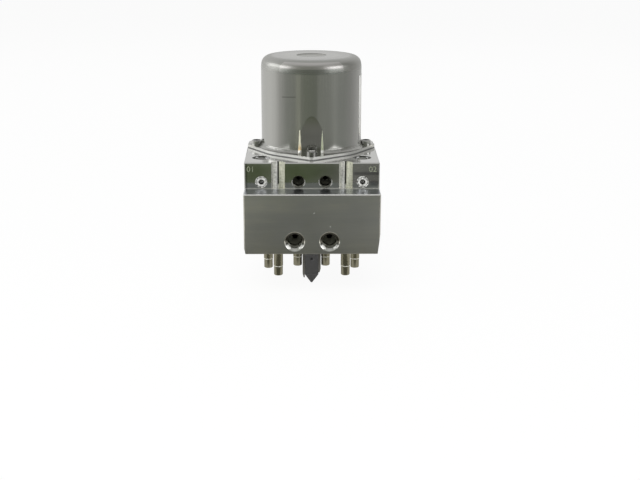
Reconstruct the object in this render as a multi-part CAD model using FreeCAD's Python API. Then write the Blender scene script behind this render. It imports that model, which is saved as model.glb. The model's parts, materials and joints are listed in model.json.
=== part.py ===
import FreeCAD, Part
import math
import os

# Hydraulic unit of an anti-lock brake, in millimetres.
# A milled aluminium valve block carries a drawn steel pump motor on top, and
# the tubes of twelve solenoid valves and the motor's plug stand out below it.
# +Z runs up the motor's axis. The origin is where that axis meets the block's
# bottom face, which the control unit is screwed to. The brake lines face -Y.

Vector = FreeCAD.Vector
UP = Vector(0, 0, 1)
SIDES = {"left": -1, "right": 1}

# Fits and gaps
press_gap = 0.02
sliding_gap = 0.05
running_gap = 0.03
free_gap = 0.35

# Valve block
block_width = 100.0
block_height = 64.4
front_reach = 77.1
back_reach = 50.0
corner_cut = 24.5
recess_depth = 18.9
ledge_height = 45.0
edge_chamfer = 0.7
foot_chamfer = 0.3
groove_spacing = 50.0
groove_radius = 5.0

# Worn lower edges of the two sides: how far in and how far up each reaches
edge_wear = {
    "left": (1.0, 4.0),
    "right": (1.8, 15.0),
}

# Ports for the brake lines
main_port_radius = 5.5
main_port_depth = 13.0
main_port_spacing = 25.6
main_port_height = 9.5
main_port_mouth_radius = 7.5
main_port_mouth_depth = 1.3
wheel_port_radius = 4.5
wheel_port_depth = 12.0
wheel_port_mouth_radius = 4.85
wheel_port_mouth_depth = 0.5
recess_port_spacing = 20.0
port_row_height = 49.9
top_port_spacing = 76.0
top_port_setback = 18.3
spot_face_radius = 6.7
spot_face_depth = 1.0
main_passage_radius = 2.0
wheel_passage_radius = 1.5
drill_point_angle = 118.0

# Pressed plugs that close the two drillings beside the recess ports
plug_spacing = 75.0
plug_sleeve_radius = 3.65
plug_sleeve_length = 7.0
plug_sleeve_floor = 1.5
plug_ball_radius = 1.85
plug_ball_sink = 0.2
plug_sink = 0.35
plug_mouth_radius = 4.45
plug_mouth_depth = 0.8

# Tapped holes for the control unit and the bracket
control_screw_radius = 1.65
control_screw_depth = 20.0
control_screw_spacing_x = 88.0
control_screw_spacing_y = 86.0
control_screw_centre_y = -27.0
bracket_hole_radius = 3.4
bracket_hole_depth = 14.0
bracket_hole_spacing = 28.0
bracket_hole_height = 14.0

# Motor can, a deep-drawn cup with a flange and four ears
can_radius = 38.7
can_height = 71.3
can_wall = 2.0
shoulder_radius = 6.5
lead_radius = 30.0
lead_angle = 8.6
flange_radius = 42.4
flange_thickness = 2.0
foot_fillet = 3.4
ear_count = 4
front_ear_reach = 51.2
side_ear_margin = 0.4
ear_tip_radius = 3.2
pocket_height = 17.0
pocket_width = 16.3
pocket_depth = 1.3
pocket_reach = 8.0
seat_gap = 0.4
dimple_radius = 10.2
dimple_depth = 0.8
bearing_collar_wall = 2.0
bearing_collar_height = 8.5
gasket_thickness = 0.6
gasket_inner_radius = 38.0

# Motor screws
screw_circle_radius = 42.8
screw_radius = 2.5
screw_length = 12.0
screw_hole_extra = 2.0
screw_head_radius = 4.0
screw_head_height = 3.2
screw_head_chamfer = 0.5
screw_socket_radius = 3.0
screw_socket_depth = 2.0
screw_clearance = 0.25

# Motor inside
magnet_thickness = 6.8
magnet_height = 34.0
magnet_lift = 21.5
magnet_angle = 150.0
air_gap = 0.9
slot_count = 12
slot_depth = 11.0
slot_width = 5.5
slot_mouth = 2.0
winding_inset = 1.2
winding_overhang = 5.0
winding_rounding = 1.7
winding_inner_radius = 13.0
commutator_radius = 11.0
commutator_lift = 3.0
commutator_height = 12.0
commutator_slit = 0.5
commutator_slit_depth = 1.0
commutator_hook_height = 2.0
commutator_hook_reach = 1.5
brush_gap = 0.3
brush_plate_radius = 35.8
brush_plate_thickness = 2.0
brush_plate_bore_radius = 14.0
brush_length = 12.0
brush_width = 6.0
brush_height = 7.0
brush_lift = 1.2
brush_box_wall = 1.2
brush_box_gap = 3.0

# Shaft, bearings and eccentric
shaft_radius = 5.0
shaft_tip_radius = 4.0
shaft_end_radius = 3.5
shaft_end_length = 3.0
upper_bush_radius = 8.0
lower_bearing_radius = 13.0
lower_bearing_height = 8.0
eccentricity = 1.0
eccentric_radius = 6.5
eccentric_width = 12.0
eccentric_ring_radius = 9.5
eccentric_chamber_radius = 12.6
eccentric_chamber_drop = 11.0

# Pump elements, one on each side of the eccentric
pump_axis_height = 41.0
piston_radius = 4.0
piston_length = 16.0
piston_bevel = 0.8
piston_stroke = 2.0
pump_sleeve_radius = 6.5
pump_sleeve_start = 16.5
pump_sleeve_gap = 0.9
pump_sleeve_floor = 4.0
pump_outlet_radius = 1.0
piston_spring_radius = 2.8
piston_spring_wire = 0.8
piston_spring_turns = 4
pump_plug_radius = 8.0
pump_plug_length = 7.5
pump_plug_sink = 0.6
pump_plug_dimple_radius = 4.0
pump_plug_dimple_depth = 2.0
pump_plug_bevel = 0.6

# Low-pressure accumulators, which open to the back
accumulator_spacing = 28.0
accumulator_height = 38.0
accumulator_radius = 9.5
accumulator_depth = 29.0
accumulator_piston_length = 9.0
accumulator_piston_wall = 1.5
accumulator_stroke = 8.0
accumulator_cap_thickness = 2.5
accumulator_cap_sink = 0.8
accumulator_cap_rim = 1.5
accumulator_cap_dish = 1.0
accumulator_vent_radius = 1.0
accumulator_spring_radius = 6.0
accumulator_spring_wire = 1.4
accumulator_spring_turns = 4

# Solenoid valves: the tube that the coil slides over, and the pressed body
valve_tube_radius = 3.5
valve_tube_length = 22.0
valve_tube_end_radius = 3.32
valve_tube_end_length = 7.2
valve_tube_wall = 0.9
valve_tube_bottom = 1.5
valve_edge = 0.4
valve_body_radius = 4.5
valve_body_height = 26.0
valve_core_face = 3.6
valve_needle_radius = 1.0
valve_needle_top = 20.0
valve_seat_gap = 0.4
valve_orifice_radius = 0.6
valve_stroke = 0.3
valve_field_centre_y = -9.0

# Half spacing across the block and distance in front of the field's centre
valve_rows = {
    "outer_pair": (25.3, 48.4),
    "inlet": (33.3, 29.6),
    "outlet": (10.8, 24.1),
}

# Motor plug, a moulded rod with a wedge-shaped head below the block
plug_rod_radius = 4.4
plug_rod_y = -32.6
plug_head_width = 10.6
plug_head_depth = 8.0
plug_head_y = -34.0
plug_head_gap = 0.3
plug_seat_depth = 1.0
plug_shoulder_drop = 28.3
plug_tip_drop = 36.0
plug_tip_width = 1.0
plug_latch_radius = 0.9
plug_latch_drop = 15.7
plug_latch_depth = 1.5
contact_thickness = 1.7
contact_width = 4.2
contact_riser_width = 2.8
contact_front_y = -37.4
contact_drop_left = 31.0
contact_drop_right = 27.0
contact_taper = 3.0
contact_inner_offset = 1.2
contact_bend_drop = 2.0
contact_blade_rise = 5.0

# Levels and places that follow from the sizes above
recess_y = recess_depth - front_reach
can_base = block_height + gasket_thickness
can_top = can_base + can_height
flange_top = can_base + flange_thickness
side_ear_reach = block_width / 2 - side_ear_margin
magnet_base = can_base + magnet_lift
commutator_base = can_base + commutator_lift
can_inner_radius = can_radius - can_wall
bush_base = can_top - can_wall - bearing_collar_height
shaft_top = can_top - can_wall - dimple_depth - free_gap
lower_bearing_base = block_height - lower_bearing_height
eccentric_base = pump_axis_height - eccentric_width / 2
eccentric_chamber_floor = pump_axis_height - eccentric_chamber_drop
piston_start = eccentric_ring_radius + eccentricity + free_gap
pump_sleeve_end = block_width / 2 - pump_plug_sink - pump_plug_length - pump_sleeve_gap
pump_chamber_end = pump_sleeve_end - pump_sleeve_floor
armature_radius = can_inner_radius - magnet_thickness - air_gap
accumulator_end = back_reach - accumulator_depth
cap_face = back_reach - accumulator_cap_sink - accumulator_cap_thickness


def cylinder(radius, length, base, axis=UP):
    return Part.makeCylinder(radius, length, base, axis)


def ring(outer, inner, length, base, axis=UP):
    """A tube with both its ends open."""
    return cylinder(outer, length, base, axis).cut(cylinder(inner, length, base, axis))


def box(low, high):
    size = high - low
    return Part.makeBox(size.x, size.y, size.z, low)


def drilled(radius, depth, mouth, axis):
    """A blind drilling with its pointed end."""
    point = radius / math.tan(math.radians(drill_point_angle / 2))
    tip = Part.makeCone(radius, 0, point, mouth + axis * depth, axis)
    return cylinder(radius, depth, mouth, axis).fuse(tip)


def outline(start, *steps):
    """A face in the XZ plane. A step is an end point, or an arc's middle and end."""
    edges = []
    here = Vector(start[0], 0, start[1])
    for step in steps + (start,):
        if isinstance(step[0], tuple):
            middle = Vector(step[0][0], 0, step[0][1])
            there = Vector(step[1][0], 0, step[1][1])
            edges.append(Part.Arc(here, middle, there).toShape())
        else:
            there = Vector(step[0], 0, step[1])
            edges.append(Part.LineSegment(here, there).toShape())
        here = there
    return Part.Face(Part.Wire(edges))


def quarter(centre, radius, angle, end):
    """An outline's step along a quarter arc, whose middle lies at the angle."""
    turn = math.radians(angle)
    middle = (centre[0] + radius * math.cos(turn), centre[1] + radius * math.sin(turn))
    return (middle, end)


def turned(*points):
    """A solid of revolution about Z."""
    return outline(*points).revolve(Vector(0, 0, 0), UP, 360)


def moved(shape, place):
    copy = shape.copy()
    copy.translate(place)
    return copy


def spun(shape, count):
    """Copies of a shape, evenly spaced about Z."""
    copies = []
    for index in range(count):
        copy = shape.copy()
        copy.rotate(Vector(0, 0, 0), UP, index * 360.0 / count)
        copies.append(copy)
    return copies


def along(shape, axis, place):
    """Turns a shape made along Z to another axis and puts it in its place."""
    copy = shape.copy()
    turn = FreeCAD.Rotation(UP, axis)
    copy.Placement = FreeCAD.Placement(place, turn).multiply(copy.Placement)
    return copy


def fused(shapes):
    return shapes[0].multiFuse(shapes[1:]).removeSplitter()


def prism(points, height, base=0.0):
    """An upright solid on a plan outline of corner points."""
    corners = [Vector(x, y, base) for x, y in points]
    return Part.Face(Part.makePolygon(corners + corners[:1])).extrude(UP * height)


def tapered(low, high):
    """A flat-sided solid between two outlines, as lists of matching corners."""
    faces = [Part.Face(Part.makePolygon(corners + corners[:1])) for corners in (low, high)]
    for index in range(len(low)):
        following = (index + 1) % len(low)
        side = [low[index], low[following], high[following], high[index], low[index]]
        faces.append(Part.Face(Part.makePolygon(side)))
    return Part.makeSolid(Part.makeShell(faces))


def coil_spring(radius, wire, length, turns):
    """A spring of square wire that stands on the XY plane."""
    rise = length - wire
    half = wire / 2
    path = Part.makeHelix(rise / turns, rise, radius)
    corners = [(-half, -half), (half, -half), (half, half), (-half, half)]
    points = [Vector(radius + x, 0, z) for x, z in corners]
    section = Part.makePolygon(points + points[:1])
    spring = Part.Wire(path).makePipeShell([section], True, True)
    return moved(spring, Vector(0, 0, half))


def valve_places():
    """Name, place and stroke of each solenoid valve's moving plunger."""
    places = []
    for side, sign in SIDES.items():
        half, reach = valve_rows["outer_pair"]
        places.append(("switch_valve_" + side, sign * half, valve_field_centre_y - reach))
        places.append(("pilot_valve_" + side, sign * half, valve_field_centre_y + reach))
        for kind in ("inlet", "outlet"):
            half, reach = valve_rows[kind]
            front = kind + "_valve_front_" + side
            rear = kind + "_valve_rear_" + side
            places.append((front, sign * half, valve_field_centre_y - reach))
            places.append((rear, sign * half, valve_field_centre_y + reach))
    return places


def block_body():
    """The milled body: stepped front, cut rear corners, bevelled edges."""
    half = block_width / 2
    plan = [
        (-half, -front_reach),
        (half, -front_reach),
        (half, back_reach - corner_cut),
        (half - corner_cut, back_reach),
        (corner_cut - half, back_reach),
        (-half, back_reach - corner_cut),
    ]
    body = prism(plan, block_height)
    recess = box(
        Vector(-block_width, -2 * front_reach, ledge_height),
        Vector(block_width, recess_y, 2 * block_height),
    )
    body = body.cut(recess)
    edges = []
    for edge in body.Edges:
        middle = edge.CenterOfMass
        at_corner = abs(middle.y - recess_y) < 0.1 and abs(middle.z - ledge_height) < 0.1
        if not at_corner and middle.z > 0.1:
            edges.append(edge)
    body = body.makeChamfer(edge_chamfer, edges)
    foot_edges = [edge for edge in body.Edges if edge.BoundBox.ZMax < 0.1]
    return body.makeChamfer(foot_chamfer, foot_edges)


def edge_wear_cuts():
    """Shallow wedges along the lower edges of the sides."""
    cuts = []
    length = front_reach + back_reach
    for side, (inward, upward) in edge_wear.items():
        sign = SIDES[side]
        corner = sign * block_width / 2
        wedge = outline((corner, upward), (corner - sign * inward, 0),
                        (corner + sign * inward, 0), (corner + sign * inward, upward))
        cuts.append(moved(wedge.extrude(Vector(0, length, 0)), Vector(0, -front_reach, 0)))
    return cuts


def groove_cuts():
    """Half-round grooves down the recess face to the ledge."""
    height = block_height - ledge_height
    return [
        cylinder(groove_radius, height, Vector(sign * groove_spacing / 2, recess_y, ledge_height))
        for sign in SIDES.values()
    ]


def port_cut(radius, depth, mouth_radius, mouth_depth, mouth, axis):
    """A port's thread hole with its bevelled mouth."""
    bevel = Part.makeCone(mouth_radius, radius, mouth_depth, mouth, axis)
    return drilled(radius, depth, mouth, axis).fuse(bevel)


def main_port_cuts():
    """Ports from the master cylinder, each with a passage to its outlet valve."""
    cuts = []
    valve_y = valve_field_centre_y - valve_rows["outlet"][1]
    for sign in SIDES.values():
        mouth = Vector(sign * main_port_spacing / 2, -front_reach, main_port_height)
        cuts.append(port_cut(main_port_radius, main_port_depth, main_port_mouth_radius,
                             main_port_mouth_depth, mouth, Vector(0, 1, 0)))
        cuts.append(cylinder(main_passage_radius, valve_y + front_reach, mouth, Vector(0, 1, 0)))
    return cuts


def recess_port_cuts():
    """Wheel ports in the recess, with passages back and down to the outlet valves."""
    cuts = []
    half, reach = valve_rows["outlet"]
    valve_y = valve_field_centre_y - reach
    for sign in SIDES.values():
        mouth = Vector(sign * recess_port_spacing / 2, recess_y, port_row_height)
        cuts.append(port_cut(wheel_port_radius, wheel_port_depth, wheel_port_mouth_radius,
                             wheel_port_mouth_depth, mouth, Vector(0, 1, 0)))
        cuts.append(cylinder(wheel_passage_radius, valve_y - recess_y, mouth, Vector(0, 1, 0)))
        foot = Vector(sign * half, valve_y, valve_body_height)
        cuts.append(cylinder(wheel_passage_radius, port_row_height - valve_body_height, foot))
    return cuts


def top_port_cuts():
    """Wheel ports in the top face, with passages down to the inlet valves."""
    cuts = []
    port_y = recess_y + top_port_setback
    valve_x, reach = valve_rows["inlet"]
    for sign in SIDES.values():
        top = Vector(sign * top_port_spacing / 2, port_y, block_height)
        floor = top - UP * spot_face_depth
        cuts.append(cylinder(spot_face_radius, spot_face_depth, floor))
        cuts.append(port_cut(wheel_port_radius, wheel_port_depth, wheel_port_mouth_radius,
                             wheel_port_mouth_depth, floor, -UP))
        foot_x = valve_x + valve_body_radius - wheel_passage_radius
        foot = Vector(sign * foot_x, valve_field_centre_y - reach, valve_body_height)
        cuts.append(cylinder(wheel_passage_radius, port_row_height - valve_body_height, foot))
    return cuts


def plug_cuts():
    """Cross drillings behind the two pressed plugs, and the plugs' seats."""
    cuts = []
    for sign in SIDES.values():
        mouth = Vector(sign * plug_spacing / 2, recess_y, port_row_height)
        seat_depth = plug_sink + plug_sleeve_length
        cuts.append(cylinder(plug_sleeve_radius + press_gap, seat_depth, mouth, Vector(0, 1, 0)))
        cuts.append(Part.makeCone(plug_mouth_radius, plug_sleeve_radius, plug_mouth_depth,
                                  mouth, Vector(0, 1, 0)))
        cuts.append(cylinder(wheel_passage_radius, top_port_setback + wheel_port_radius / 2,
                             mouth, Vector(0, 1, 0)))
    return cuts


def valve_cuts():
    return [
        cylinder(valve_body_radius + press_gap, valve_body_height, Vector(x, y, 0))
        for name, x, y in valve_places()
    ]


def motor_cuts():
    """Bearing seat, eccentric chamber, motor screw holes, the plug's passage and seat."""
    cuts = [cylinder(lower_bearing_radius + press_gap, lower_bearing_height,
                     Vector(0, 0, lower_bearing_base))]
    chamber_height = block_height - eccentric_chamber_floor
    cuts.append(cylinder(eccentric_chamber_radius, chamber_height,
                         Vector(0, 0, eccentric_chamber_floor)))
    cuts.append(cylinder(plug_rod_radius + sliding_gap, block_height, Vector(0, plug_rod_y, 0)))
    half_seat = plug_head_width / 2 + contact_thickness + plug_head_gap
    front = min(plug_head_y - plug_head_depth / 2, contact_front_y) - plug_head_gap
    back = max(plug_head_y + plug_head_depth / 2, contact_front_y + contact_width) + plug_head_gap
    cuts.append(box(Vector(-half_seat, front, 0), Vector(half_seat, back, plug_seat_depth)))
    hole = drilled(screw_radius + press_gap, screw_length + screw_hole_extra - flange_thickness,
                   Vector(0, -screw_circle_radius, block_height), -UP)
    return cuts + spun(hole, ear_count)


def pump_cuts():
    """Stepped side bores for the pump elements."""
    cuts = []
    for sign in SIDES.values():
        axis = Vector(sign, 0, 0)
        centre = Vector(0, 0, pump_axis_height)
        half = block_width / 2
        plug_depth = pump_plug_length + pump_plug_sink + free_gap
        mouth = centre + axis * half
        cuts.append(cylinder(pump_plug_radius + press_gap, half - pump_sleeve_end,
                             centre + axis * pump_sleeve_end, axis))
        cuts.append(cylinder(pump_plug_radius + 2 * press_gap, plug_depth, mouth, -axis))
        cuts.append(cylinder(pump_sleeve_radius + press_gap, pump_sleeve_end - pump_sleeve_start,
                             centre + axis * pump_sleeve_start, axis))
        cuts.append(cylinder(piston_radius + free_gap, pump_sleeve_start, centre, axis))
    return cuts


def accumulator_cuts():
    cuts = []
    for sign in SIDES.values():
        mouth = Vector(sign * accumulator_spacing / 2, back_reach, accumulator_height)
        cuts.append(cylinder(accumulator_radius, accumulator_depth, mouth, Vector(0, -1, 0)))
    return cuts


def tapped_hole_cuts():
    """Holes for the control unit's screws below and the bracket's at the back."""
    cuts = []
    for x_sign in (-1, 1):
        for y_sign in (-1, 1):
            y = control_screw_centre_y + y_sign * control_screw_spacing_y / 2
            mouth = Vector(x_sign * control_screw_spacing_x / 2, y, 0)
            cuts.append(drilled(control_screw_radius, control_screw_depth, mouth, UP))
        mouth = Vector(x_sign * bracket_hole_spacing / 2, back_reach, bracket_hole_height)
        cuts.append(drilled(bracket_hole_radius, bracket_hole_depth, mouth, Vector(0, -1, 0)))
    return cuts


def valve_block():
    cuts = groove_cuts() + main_port_cuts() + recess_port_cuts() + top_port_cuts()
    cuts += plug_cuts() + valve_cuts() + motor_cuts() + pump_cuts()
    cuts += accumulator_cuts() + tapped_hole_cuts() + edge_wear_cuts()
    return block_body().cut(cuts)


def ear(reach, height, base):
    """One V-shaped ear that points forwards, with its sides tangent to the disc."""
    centre = reach - ear_tip_radius
    spread = math.acos((flange_radius - ear_tip_radius) / centre)
    side = math.sin(spread)
    ahead = math.cos(spread)
    points = [
        (0, 0),
        (flange_radius * side, -flange_radius * ahead),
        (ear_tip_radius * side, -centre - ear_tip_radius * ahead),
        (-ear_tip_radius * side, -centre - ear_tip_radius * ahead),
        (-flange_radius * side, -flange_radius * ahead),
    ]
    tip = cylinder(ear_tip_radius, height, Vector(0, -centre, base))
    return prism(points, height, base).fuse(tip)


def flange_plate(height, base):
    """The flange's disc with an ear for each motor screw."""
    disc = cylinder(flange_radius, height, Vector(0, 0, base))
    front_and_rear = spun(ear(front_ear_reach, height, base), 2)
    sides = spun(ear(side_ear_reach, height, base), ear_count)[1::2]
    return fused([disc] + front_and_rear + sides)


def screw_holes(height, base):
    hole = cylinder(screw_radius + screw_clearance, height,
                    Vector(0, -screw_circle_radius, base))
    return spun(hole, ear_count)


def pocket_cuts(inset, base):
    """The front and rear dents over the flange, moved inwards by the inset.

    Each has a floor that leans in towards the flange and sides that flare out
    and fade where the floor meets the can's wall.
    """
    crest = flange_top + pocket_height
    half = pocket_width / 2
    wall_distance = math.sqrt(can_radius ** 2 - half ** 2)
    slope = pocket_depth / pocket_height
    top = crest + 2 * (can_radius - wall_distance) / slope
    sections = []
    for level in (base, top):
        lean = slope * (crest - level)
        floor = lean + inset - wall_distance
        inner = half - lean / 2
        outer = inner + pocket_reach
        edge = floor - pocket_reach
        plan = [(-inner, floor), (inner, floor), (outer, edge), (-outer, edge)]
        sections.append([Vector(x, y, level) for x, y in plan])
    return spun(tapered(*sections), 2)


def screw_seats():
    """Round clearings in the foot's fillet for the heads of the motor screws."""
    seat = cylinder(screw_head_radius + seat_gap, foot_fillet,
                    Vector(0, -screw_circle_radius, flange_top))
    return spun(seat, ear_count)


def can_outside():
    """The turned outside: a fillet at its foot, and a slow lead-in below the shoulder."""
    foot = can_radius + foot_fillet
    lead = math.radians(lead_angle)
    lead_centre = can_radius - lead_radius
    shoulder = lead_centre + (lead_radius - shoulder_radius) * math.cos(lead)
    shoulder_level = can_top - shoulder_radius
    lead_level = shoulder_level - (lead_radius - shoulder_radius) * math.sin(lead)
    lead_end = (lead_centre + lead_radius * math.cos(lead),
                lead_level + lead_radius * math.sin(lead))
    return turned(
        (0, can_base),
        (foot, can_base),
        (foot, flange_top),
        quarter((foot, flange_top + foot_fillet), foot_fillet, 225,
                (can_radius, flange_top + foot_fillet)),
        (can_radius, lead_level),
        quarter((lead_centre, lead_level), lead_radius, lead_angle / 2, lead_end),
        quarter((shoulder, shoulder_level), shoulder_radius, (lead_angle + 90) / 2,
                (shoulder, can_top)),
        (dimple_radius + dimple_depth, can_top),
        (dimple_radius, can_top - dimple_depth),
        (0, can_top - dimple_depth),
    )


def can_inside():
    """The cavity, round the collar that the upper bush is pressed into."""
    ceiling = can_top - can_wall
    corner = shoulder_radius - can_wall
    shoulder = can_inner_radius - corner
    collar = upper_bush_radius + bearing_collar_wall
    return turned(
        (0, can_base),
        (can_inner_radius, can_base),
        (can_inner_radius, ceiling - corner),
        quarter((shoulder, ceiling - corner), corner, 45, (shoulder, ceiling)),
        (collar, ceiling),
        (collar, bush_base),
        (upper_bush_radius + press_gap, bush_base),
        (upper_bush_radius + press_gap, ceiling - dimple_depth),
        (0, ceiling - dimple_depth),
    )


def motor_can():
    outside = can_outside().fuse(flange_plate(flange_thickness, can_base))
    outside = outside.cut(pocket_cuts(0, flange_top) + screw_seats())
    inside = can_inside().cut(pocket_cuts(can_wall, can_base))
    return outside.cut([inside] + screw_holes(flange_thickness, can_base))


def motor_gasket():
    bore = cylinder(gasket_inner_radius, gasket_thickness, Vector(0, 0, block_height))
    holes = screw_holes(gasket_thickness, block_height)
    return flange_plate(gasket_thickness, block_height).cut([bore] + holes)


def motor_screws():
    """Four pan-head screws with a six-sided socket."""
    head_top = flange_top + screw_head_height
    shank_end = flange_top - screw_length
    screw = turned(
        (0, shank_end),
        (screw_radius - screw_head_chamfer, shank_end),
        (screw_radius, shank_end + screw_head_chamfer),
        (screw_radius, flange_top),
        (screw_head_radius, flange_top),
        (screw_head_radius, head_top - screw_head_chamfer),
        (screw_head_radius - screw_head_chamfer, head_top),
        (0, head_top),
    )
    corners = [(screw_socket_radius * math.cos(math.radians(60 * k)),
                screw_socket_radius * math.sin(math.radians(60 * k))) for k in range(6)]
    socket = prism(corners, screw_socket_depth, head_top - screw_socket_depth)
    screw = moved(screw.cut(socket), Vector(0, -screw_circle_radius, 0))
    return Part.makeCompound(spun(screw, ear_count))


def magnets():
    """Two curved magnets bonded to the can's wall."""
    outer = can_inner_radius - press_gap
    shell = ring(outer, outer - magnet_thickness, magnet_height, Vector(0, 0, magnet_base))
    reach = 2 * can_radius
    half = math.radians(magnet_angle / 2)
    wedge = prism([(0, 0), (reach * math.cos(half), -reach * math.sin(half)), (2 * reach, 0),
                   (reach * math.cos(half), reach * math.sin(half))], magnet_height, magnet_base)
    right = shell.common(wedge)
    left = right.copy()
    left.rotate(Vector(0, 0, 0), UP, 180)
    return {"magnet_left": left, "magnet_right": right}


def slot_bars(width, mouth, depth_inset, height, base):
    """The slots' outline as radial bars, with or without their narrow mouths."""
    outer = armature_radius - mouth - depth_inset
    bar = box(Vector(armature_radius - slot_depth + depth_inset, -width / 2, base),
              Vector(outer, width / 2, base + height))
    return spun(bar, slot_count)


def armature_core():
    """The stack of laminations with its winding slots."""
    base = Vector(0, 0, magnet_base)
    core = ring(armature_radius, shaft_radius, magnet_height, base)
    slots = slot_bars(slot_width, slot_mouth, 0, magnet_height, magnet_base)
    mouth = box(Vector(armature_radius - 2 * slot_mouth, -slot_mouth / 2, magnet_base),
                Vector(2 * armature_radius, slot_mouth / 2, magnet_base + magnet_height))
    return core.cut(slots + spun(mouth, slot_count))


def armature_windings():
    """Copper in the slots and the rounded bundles over both ends of the core."""
    width = slot_width - 2 * sliding_gap
    height = magnet_height + 2 * winding_inset
    bars = slot_bars(width, slot_mouth, sliding_gap, height, magnet_base - winding_inset)
    outer = armature_radius - slot_mouth - winding_inset
    foot = magnet_base + magnet_height + sliding_gap
    head = foot + winding_overhang
    round_centre = (outer - winding_rounding, head - winding_rounding)
    upper = turned(
        (winding_inner_radius, foot),
        (outer, foot),
        (outer, head - winding_rounding),
        quarter(round_centre, winding_rounding, 45, (outer - winding_rounding, head)),
        (winding_inner_radius, head),
    )
    lower = upper.mirror(Vector(0, 0, magnet_base + magnet_height / 2), UP)
    return fused([lower, upper] + bars)


def commutator():
    """Copper segments parted by slits, with a hook collar on top."""
    top = commutator_base + commutator_height
    body = turned(
        (shaft_radius, commutator_base),
        (commutator_radius, commutator_base),
        (commutator_radius, top - commutator_hook_height),
        (commutator_radius + commutator_hook_reach, top - commutator_hook_height),
        (commutator_radius + commutator_hook_reach, top),
        (shaft_radius, top),
    )
    slit = box(Vector(commutator_radius - commutator_slit_depth, -commutator_slit / 2,
                      commutator_base),
               Vector(2 * commutator_radius, commutator_slit / 2, top))
    return body.cut(spun(slit, slot_count))


def rotor_shaft():
    """Stepped shaft with the eccentric journal turned on its lower end."""
    journal = Vector(0, eccentricity, eccentric_base)
    end = eccentric_base - shaft_end_length
    neck = eccentric_base + eccentric_width
    shoulder = bush_base - free_gap
    pieces = [
        cylinder(shaft_end_radius, shaft_end_length, Vector(0, 0, end)),
        cylinder(eccentric_radius, eccentric_width, journal),
        cylinder(shaft_radius, shoulder - neck, Vector(0, 0, neck)),
        cylinder(shaft_tip_radius, shaft_top - shoulder, Vector(0, 0, shoulder)),
    ]
    return fused(pieces)


def eccentric_ring():
    return ring(eccentric_ring_radius, eccentric_radius + running_gap, eccentric_width,
                Vector(0, eccentricity, eccentric_base))


def upper_bush():
    height = bearing_collar_height - dimple_depth
    return ring(upper_bush_radius, shaft_tip_radius + running_gap, height,
                Vector(0, 0, bush_base))


def lower_bearing():
    return ring(lower_bearing_radius, shaft_radius + running_gap, lower_bearing_height,
                Vector(0, 0, lower_bearing_base))


def brush_plate():
    """Moulded plate with a box for each brush and a socket for the plug's blades."""
    plate = ring(brush_plate_radius, brush_plate_bore_radius, brush_plate_thickness,
                 Vector(0, 0, block_height))
    brush_base = commutator_base + brush_lift
    start = commutator_radius + brush_box_gap
    wall = brush_box_wall
    half_wide = brush_width / 2 + sliding_gap
    parts = [plate]
    cuts = []
    for sign in SIDES.values():
        ends = sorted([sign * start, sign * (start + brush_length + wall)])
        low = Vector(ends[0], -half_wide - wall, block_height + brush_plate_thickness / 2)
        high = Vector(ends[1], half_wide + wall, brush_base + brush_height + wall)
        parts.append(box(low, high))
        ends = sorted([sign * commutator_radius, sign * (start + brush_length)])
        cuts.append(box(Vector(ends[0], -half_wide, brush_base - sliding_gap),
                        Vector(ends[1], half_wide, brush_base + brush_height + sliding_gap)))
    half_passage = contact_inner_offset + contact_thickness + free_gap
    half_depth = contact_riser_width / 2 + free_gap
    passage = box(
        Vector(-half_passage, plug_rod_y - half_depth, block_height),
        Vector(half_passage, plug_rod_y + half_depth, 2 * block_height),
    )
    dents = pocket_cuts(can_wall + free_gap, block_height)
    return fused(parts).cut(cuts + [passage] + dents)


def brush(sign):
    """A carbon block with a hollow face that rides on the commutator."""
    base = commutator_base + brush_lift
    ends = sorted([0, sign * (commutator_radius + brush_length)])
    block = box(Vector(ends[0], -brush_width / 2, base),
                Vector(ends[1], brush_width / 2, base + brush_height))
    face = cylinder(commutator_radius + brush_gap, brush_height, Vector(0, 0, base))
    return block.cut(face)


def pump_piston():
    """Along +X: a plain piston with a bevelled nose and a spring seat."""
    end = piston_start + piston_length
    return turned(
        (0, piston_start),
        (piston_radius - piston_bevel, piston_start),
        (piston_radius, piston_start + piston_bevel),
        (piston_radius, end),
        (0, end),
    )


def pump_sleeve():
    """Along +X: the cylinder liner, closed but for its outlet hole."""
    bore = piston_radius + sliding_gap
    return turned(
        (bore, pump_sleeve_start),
        (pump_sleeve_radius, pump_sleeve_start),
        (pump_sleeve_radius, pump_sleeve_end),
        (pump_outlet_radius, pump_sleeve_end),
        (pump_outlet_radius, pump_chamber_end),
        (bore, pump_chamber_end),
    )


def pump_plug():
    """Along +X: the pressed plug with its dished face, sunk a little in the block."""
    face = block_width / 2 - pump_plug_sink
    back = face - pump_plug_length
    return turned(
        (0, back),
        (pump_plug_radius, back),
        (pump_plug_radius, face - pump_plug_bevel),
        (pump_plug_radius - pump_plug_bevel, face),
        (pump_plug_dimple_radius, face),
        (pump_plug_dimple_radius - pump_plug_bevel, face - pump_plug_dimple_depth),
        (0, face - pump_plug_dimple_depth),
    )


def pump_parts():
    """Both pump elements, built along Z and laid along X at the pump's height."""
    spring_start = piston_start + piston_length
    spring = coil_spring(piston_spring_radius, piston_spring_wire,
                         pump_chamber_end - spring_start, piston_spring_turns)
    spring = moved(spring, UP * spring_start)
    pieces = {
        "pump_piston_": pump_piston(),
        "piston_spring_": spring,
        "pump_sleeve_": pump_sleeve(),
        "pump_plug_": pump_plug(),
    }
    centre = Vector(0, 0, pump_axis_height)
    parts = {}
    for side, sign in SIDES.items():
        for name, shape in pieces.items():
            parts[name + side] = along(shape, Vector(sign, 0, 0), centre)
    return parts


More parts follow.
